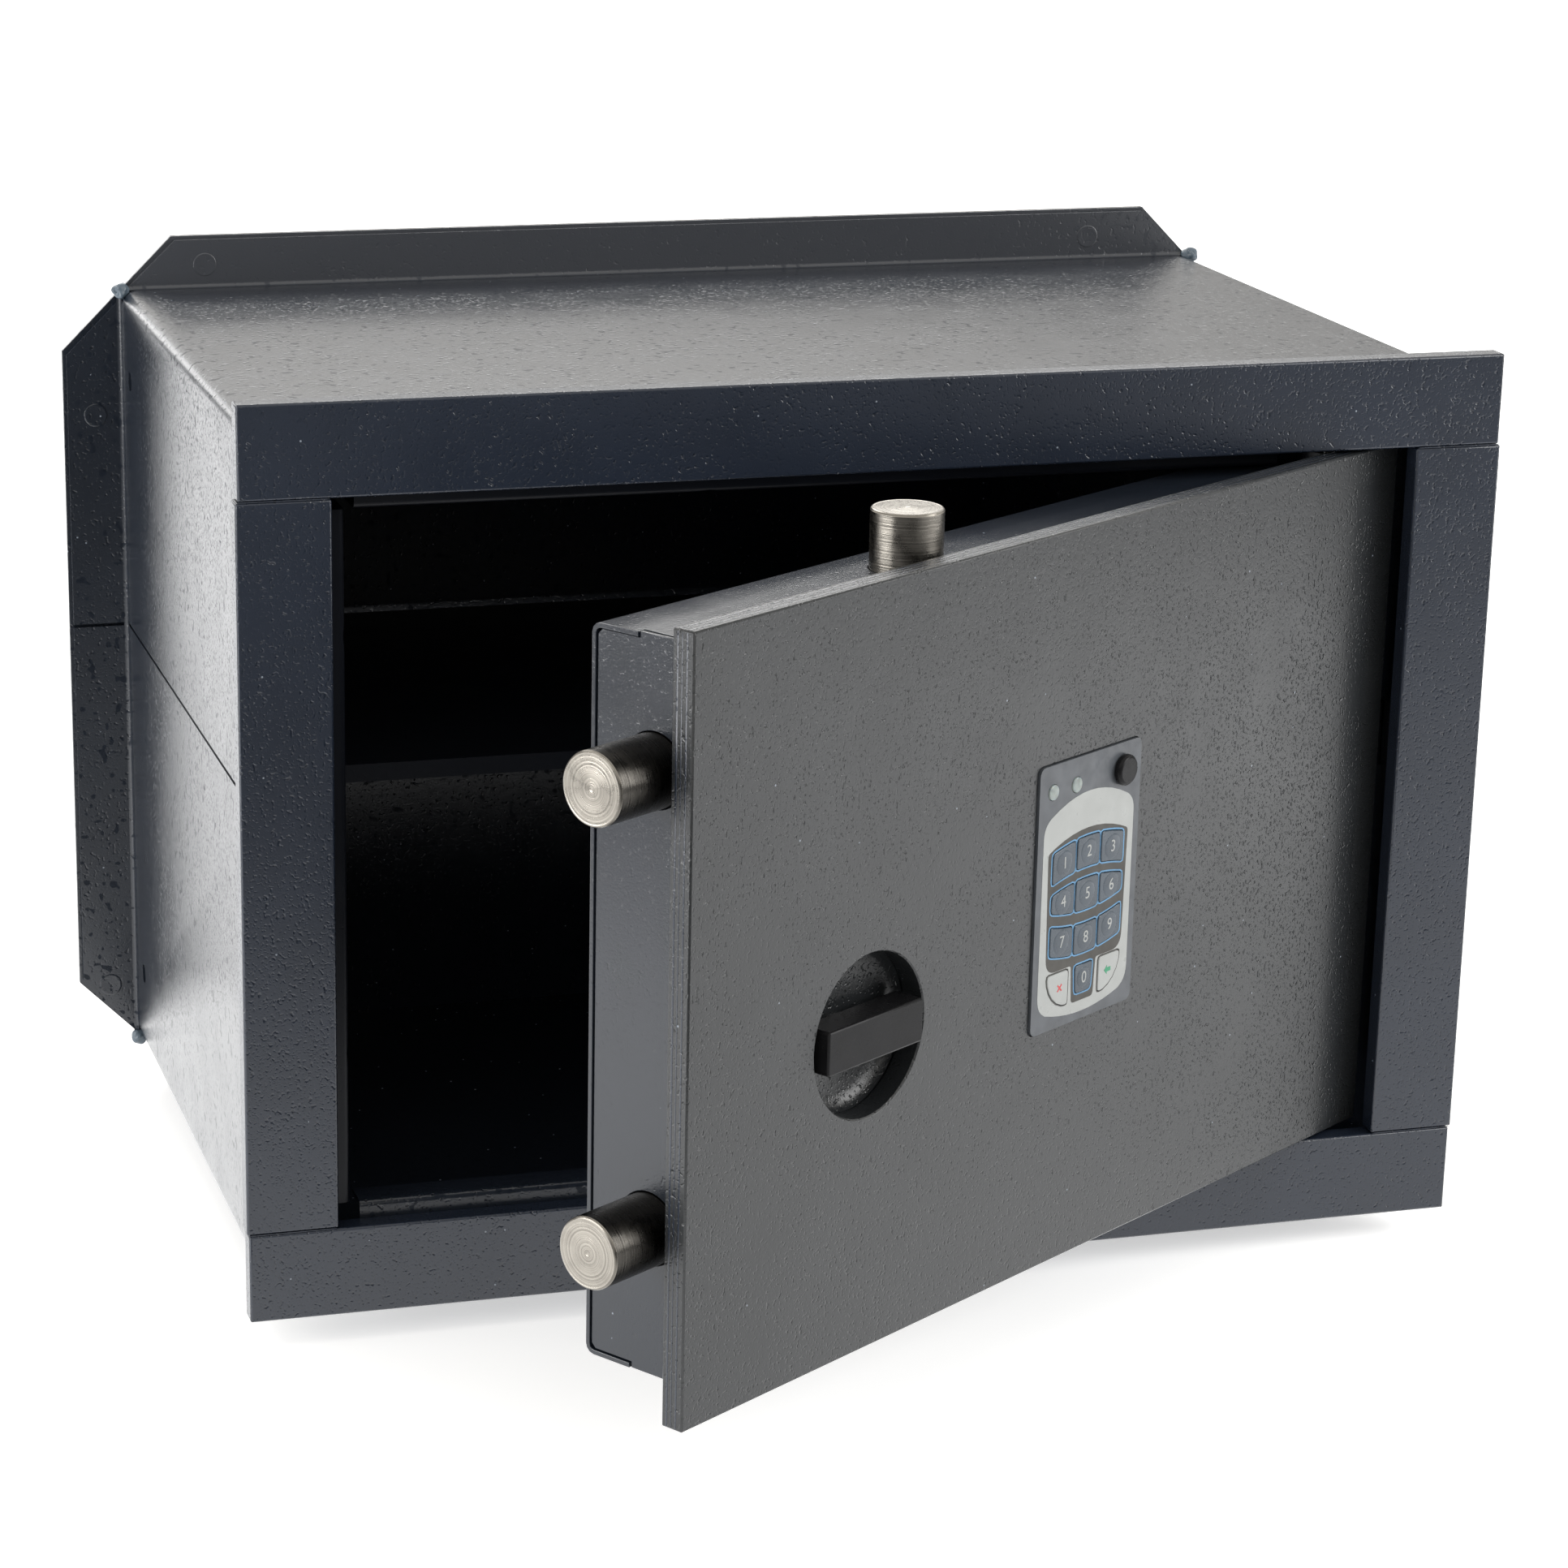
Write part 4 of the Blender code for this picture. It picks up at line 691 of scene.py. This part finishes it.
def make_marks(centres):
    """A red cross on the clear key and a green arrow on the enter key, both generic."""
    front = door_box("key_clear")[0].y
    reach, half, lift, inset = 1.5 * MM, 0.27 * MM, 0.6 * MM, 1.0 * MM
    cross = [(half, reach), (-half, reach), (-half, half), (-reach, half), (-reach, -half),
             (-half, -half), (-half, -reach), (half, -reach), (half, -half), (reach, -half),
             (reach, half), (half, half)]
    turn = Matrix.Rotation(pi / 4, 2)
    cross = [tuple(turn @ Vector(p)) for p in cross]
    tail, shaft = 1.3 * reach, 0.45 * reach
    arrow = [(-reach, 0), (0, -reach), (0, -shaft), (tail, -shaft), (tail, shaft), (0, shaft), (0, reach)]
    for key, outline, side, material in (("clear", cross, 1, RED), ("enter", arrow, -1, GREEN)):
        x, z = centres[key]
        placed = [(x + a + side * inset, z + b + lift) for a, b in outline]
        printed("mark_" + key, [placed], [], front, material, "button_" + key)


# ---------------------------------------------------------------- welds, folds and seams

def bead(name, start, end, radius, material, body, seed):
    """A weld bead between two points: a round strip with an uneven, scaled surface."""
    rng = random.Random(seed)
    along = end - start
    steps = max(6, int(along.length / (1.2 * MM)))
    turn = along.to_track_quat("Z", "Y").to_matrix()
    bm = bmesh.new()
    rings = []
    sides = 12
    for i in range(steps + 1):
        swell = radius * (0.8 + 0.3 * rng.random())
        if i in (0, steps):
            swell *= 0.4
        ring = []
        for k in range(sides):
            a = 2 * pi * k / sides
            offset = turn @ Vector((swell * cos(a), swell * sin(a), 0))
            ring.append(bm.verts.new(start + along * i / steps + offset))
        rings.append(ring)
    for low, high in zip(rings, rings[1:]):
        for k in range(sides):
            bm.faces.new((low[k - 1], low[k], high[k], high[k - 1]))
    bm.faces.new(rings[0])
    bm.faces.new(rings[-1])
    new_piece(name, bm, Matrix.Identity(4), material, body, 80)


def blob(name, centre, radius, material, seed):
    """A lumpy weld at a corner."""
    rng = random.Random(seed)
    waves = []
    for _ in range(7):
        wave = Vector([rng.uniform(-1, 1) for _ in range(3)])
        waves.append((wave, rng.uniform(0, 6)))
    bm = bmesh.new()
    bmesh.ops.create_icosphere(bm, subdivisions=4, radius=1)
    for vert in bm.verts:
        lump = sum(sin(5 * vert.co.dot(wave) + phase) for wave, phase in waves)
        vert.co *= radius * (0.82 + 0.045 * lump)
    new_piece(name, bm, Matrix.Translation(centre), material, "safe", 80)


def fillet(name, corner, along, outwards):
    """The inside of a fold: a thin hollow curve between the body and the flange."""
    radius = 1.6 * MM
    forwards = Vector((0, -1, 0))
    section = [corner - outwards * 0.1 * MM - forwards * 0.1 * MM]
    steps = 8
    for i in range(steps + 1):
        a = pi / 2 * i / steps
        section.append(corner + outwards * radius * (1 - sin(a)) + forwards * radius * (1 - cos(a)))
    bm = bmesh.new()
    rings = [[bm.verts.new(p + along * t) for p in section] for t in (0, 1)]
    for i in range(len(section)):
        bm.faces.new((rings[0][i - 1], rings[0][i], rings[1][i], rings[1][i - 1]))
    bm.faces.new(rings[0])
    bm.faces.new(rings[1])
    new_piece(name, bm, Matrix.Identity(4), SHEET_PAINT, "safe", 40)


def make_seam_fillers():
    """Dark strips sunk in the two side seams, so that no daylight comes through the walls."""
    bite = 0.05 * MM
    seam_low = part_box("lower_shell")[1].z - bite
    seam_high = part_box("upper_shell")[0].z + bite
    near, far = FRONT_Y + 8.2 * MM, PANEL_FRONT - 0.1 * MM
    for label, side in (("left", -1), ("right", 1)):
        faces = sorted((side * (WALL_OUTSIDE - 1.9 * MM), side * (WALL_OUTSIDE - 0.6 * MM)))
        bm = bmesh.new()
        strip(bm, (faces[0], near, seam_low), (faces[1], far, seam_high))
        new_piece("seam_filler_" + label, bm, Matrix.Identity(4), SHADED_INSIDE_PAINT, "safe", 40)


def make_bar_welds():
    """Ground-down beads where the upright bars butt against the level ones."""
    radius = 0.22 * MM
    end_gap = 0.6 * MM
    sink = 0.15 * MM
    seams = (("top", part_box("frame_top_bar")[0].z - sink),
             ("bottom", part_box("frame_bottom_bar")[1].z + sink))
    for side in ("left", "right"):
        low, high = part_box("frame_%s_bar" % side)
        for label, z in seams:
            start = Vector((low.x + end_gap, low.y + 0.28 * MM, z))
            end = Vector((high.x - end_gap, low.y + 0.28 * MM, z))
            bead("weld_%s_%s" % (side, label), start, end, radius, PAINT, "safe", len(side + label))


def make_rear_corners():
    """Lumpy welds at the body's four rear corners, and the folds that run between them."""
    lump = 3.6 * MM
    for number, (sx, sz) in enumerate(((-1, 1), (1, 1), (-1, -1), (1, -1))):
        corner = Vector((sx * WALL_OUTSIDE, PANEL_FRONT - lump, sz * ROOF_OUTSIDE))
        blob("corner_weld_%d" % number, corner, lump, WELD_PAINT, 40 + number)
    for number, side in enumerate((1, -1)):
        start = Vector((-WALL_OUTSIDE, FLANGE_FRONT, side * ROOF_OUTSIDE))
        fillet("fold_level_%d" % number, start, Vector((2 * WALL_OUTSIDE, 0, 0)), Vector((0, 0, side)))
        start = Vector((side * WALL_OUTSIDE, FLANGE_FRONT, -ROOF_OUTSIDE))
        fillet("fold_upright_%d" % number, start, Vector((0, 0, 2 * ROOF_OUTSIDE)), Vector((side, 0, 0)))


def make_spot_welds():
    """Shallow round marks of spot welds on the flanges."""
    level = [(x * MM, sz * 149 * MM) for sz in (1, -1) for x in (-174, 163)]
    upright = [(sx * 214.5 * MM, z * MM) for sx in (-1, 1) for z in (-120, 96)]
    profile = [(4.2 * MM, 0), (4.0 * MM, 0.16 * MM), (3.5 * MM, 0.12 * MM), (0.4 * MM, 0.05 * MM)]
    bm = bmesh.new()
    for x, z in level + upright:
        ring = bmesh.new()
        revolve(ring, profile, 32)
        ring.transform(Matrix.Translation((x, FLANGE_FRONT, z)) @ Matrix.Rotation(pi / 2, 4, "X"))
        scratch = bpy.data.meshes.new("scratch")
        ring.to_mesh(scratch)
        ring.free()
        bm.from_mesh(scratch)
        bpy.data.meshes.remove(scratch)
    new_piece("spot_welds", bm, Matrix.Identity(4), SHEET_PAINT, "safe", 50)


# ---------------------------------------------------------------- studio

CAMERA_PLACE = (-0.44016, -1.54186, 0.41087)
CAMERA_AHEAD = Vector((0.26448, 0.91473, -0.30550))
CAMERA_RIGHT = Vector((0.96183, -0.27327, 0.01445))
CAMERA_LENS = 99.9
CAMERA_SHIFT = (0.0701, 0.0734)
FLOOR_HALF = 30
FLOOR_DROP = 0.2 * MM
FLOOR_GLOW = 1.8
BACK_GLOW = 1.14
FRONT_GLOW = 0.04
SKY_GLOW = 1.0
SEEN_WHITE = 1.2


def make_floor():
    """A plain pale floor. Glossy paint mirrors it dark in front and bright at the sides and behind."""
    bm = bmesh.new()
    bmesh.ops.create_grid(bm, x_segments=1, y_segments=1, size=FLOOR_HALF)
    mesh = bpy.data.meshes.new("floor")
    bm.to_mesh(mesh)
    bm.free()
    s = Shader("floor_white")
    material = s.finish((0.86, 0.86, 0.86), 0.9)
    path = s.add("ShaderNodeLightPath")
    reach = s.add("ShaderNodeVectorMath", operation="DISTANCE")
    s.feed(reach.inputs[0], s.place)
    reach.inputs[1].default_value = (-0.2, -1.15, 0)
    split = s.add("ShaderNodeSeparateXYZ")
    s.feed(split.inputs[0], s.place)
    sideways = s.math("MULTIPLY", s.math("SUBTRACT", split.outputs["X"], 0.2), 1.1)
    forwards = s.math("MINIMUM", split.outputs["Y"], 0)
    extent = s.math("SQRT", s.math("ADD", s.math("MULTIPLY", sideways, sideways),
                                   s.math("MULTIPLY", forwards, forwards)))
    glow = s.ramp(reach.outputs["Value"], 0.2, 0.85, 0.15, FLOOR_GLOW)
    glow = s.math("MULTIPLY", glow, s.ramp(extent, 0.95, 1.3, 1.0, 0.22))
    glow = s.math("MULTIPLY", glow, s.ramp(s.math("ABSOLUTE", sideways), 0.3, 0.9, 0.9, 1.4))
    mirrored = s.add("ShaderNodeEmission")
    s.feed(mirrored.inputs["Strength"], glow)
    fill = s.add("ShaderNodeEmission")
    s.feed(fill.inputs["Strength"], s.math("MULTIPLY", path.outputs["Is Camera Ray"], 0.5))
    lit = s.add("ShaderNodeAddShader")
    s.feed(lit.inputs[0], s.surface.outputs[0])
    s.feed(lit.inputs[1], fill.outputs[0])
    chosen = s.add("ShaderNodeMixShader")
    s.feed(chosen.inputs[0], path.outputs["Is Glossy Ray"])
    s.feed(chosen.inputs[1], lit.outputs[0])
    s.feed(chosen.inputs[2], mirrored.outputs[0])
    s.feed(s.tree.nodes["Material Output"].inputs["Surface"], chosen.outputs[0])
    mesh.materials.append(material)
    floor = bpy.data.objects.new("floor", mesh)
    floor.location.z = cad_low.z - FLOOR_DROP
    bpy.context.scene.collection.objects.link(floor)


def softbox(name, place, target, size, power):
    """A large rectangular lamp aimed at a point, with its power in watts."""
    light = bpy.data.lights.new(name, "AREA")
    light.shape = "RECTANGLE"
    light.size, light.size_y = size
    light.energy = power
    lamp = bpy.data.objects.new(name, light)
    lamp.location = place
    lamp.rotation_mode = "QUATERNION"
    lamp.rotation_quaternion = (Vector(target) - Vector(place)).to_track_quat("-Z", "Y")
    bpy.context.scene.collection.objects.link(lamp)


def make_world():
    """Surroundings that paint mirrors bright behind and dim in front; the camera sees plain white."""
    world = bpy.data.worlds.new("studio")
    bpy.context.scene.world = world
    world.use_nodes = True
    w = Nodes(world.node_tree)
    background = w.tree.nodes["Background"]
    place = w.add("ShaderNodeTexCoord").outputs["Generated"]
    towards = w.add("ShaderNodeVectorMath", operation="DOT_PRODUCT")
    w.feed(towards.inputs[0], place)
    towards.inputs[1].default_value = Vector((0.35, 1.0, 0.0)).normalized()
    split = w.add("ShaderNodeSeparateXYZ")
    w.feed(split.inputs[0], place)
    height = split.outputs["Z"]
    spread = w.ramp(towards.outputs["Value"], -0.6, 0.5, FRONT_GLOW, BACK_GLOW)
    behind = w.math("MULTIPLY", spread, w.ramp(height, 0.160, 0.205, 0.42, 1.0))
    brightest = w.math("MAXIMUM", behind, w.ramp(height, 0.16, 0.42, 0.0, SKY_GLOW))
    path = w.add("ShaderNodeLightPath")
    seen = w.add("ShaderNodeMix")
    w.feed(seen.inputs[0], path.outputs["Is Camera Ray"])
    w.feed(seen.inputs[2], brightest)
    w.feed(seen.inputs[3], SEEN_WHITE)
    w.feed(background.inputs["Strength"], seen.outputs[0])
    w.feed(background.inputs["Color"], (1, 0.975, 0.93))


def make_lamps():
    """Four softboxes: one at each side and two behind."""
    softbox("left", (-1.7, -0.5, 0.2), (0, -0.35, 0), (1.2, 0.8), 20)
    softbox("rim", (0.3, 1.7, 1.5), (0, -0.1, 0), (2.2, 1.0), 30)
    softbox("strip", (-0.62, 1.9, 0.32), (-0.2, 0, 0.14), (0.9, 0.35), 3)
    softbox("right", (1.7, -1.1, 0.7), (0, -0.3, 0), (1.0, 1.2), 20)


def make_camera():
    """A camera left of the middle, a little above, with a shifted lens."""
    data = bpy.data.cameras.new("camera")
    data.sensor_width = 36
    data.lens = CAMERA_LENS
    data.shift_x, data.shift_y = CAMERA_SHIFT
    data.clip_start = 0.05
    camera = bpy.data.objects.new("camera", data)
    up = CAMERA_RIGHT.cross(CAMERA_AHEAD)
    turn = Matrix((CAMERA_RIGHT, up, -CAMERA_AHEAD)).transposed()
    camera.matrix_world = Matrix.Translation(CAMERA_PLACE) @ turn.to_4x4()
    bpy.context.scene.collection.objects.link(camera)
    bpy.context.scene.camera = camera


dress_cad_nodes()
make_bolts()
make_edge_lines()
make_keypad()
make_bar_welds()
make_rear_corners()
make_spot_welds()
make_seam_fillers()
make_floor()
make_world()
make_lamps()
make_camera()
bpy.context.scene.view_settings.view_transform = "Standard"

bpy.context.view_layer.update()
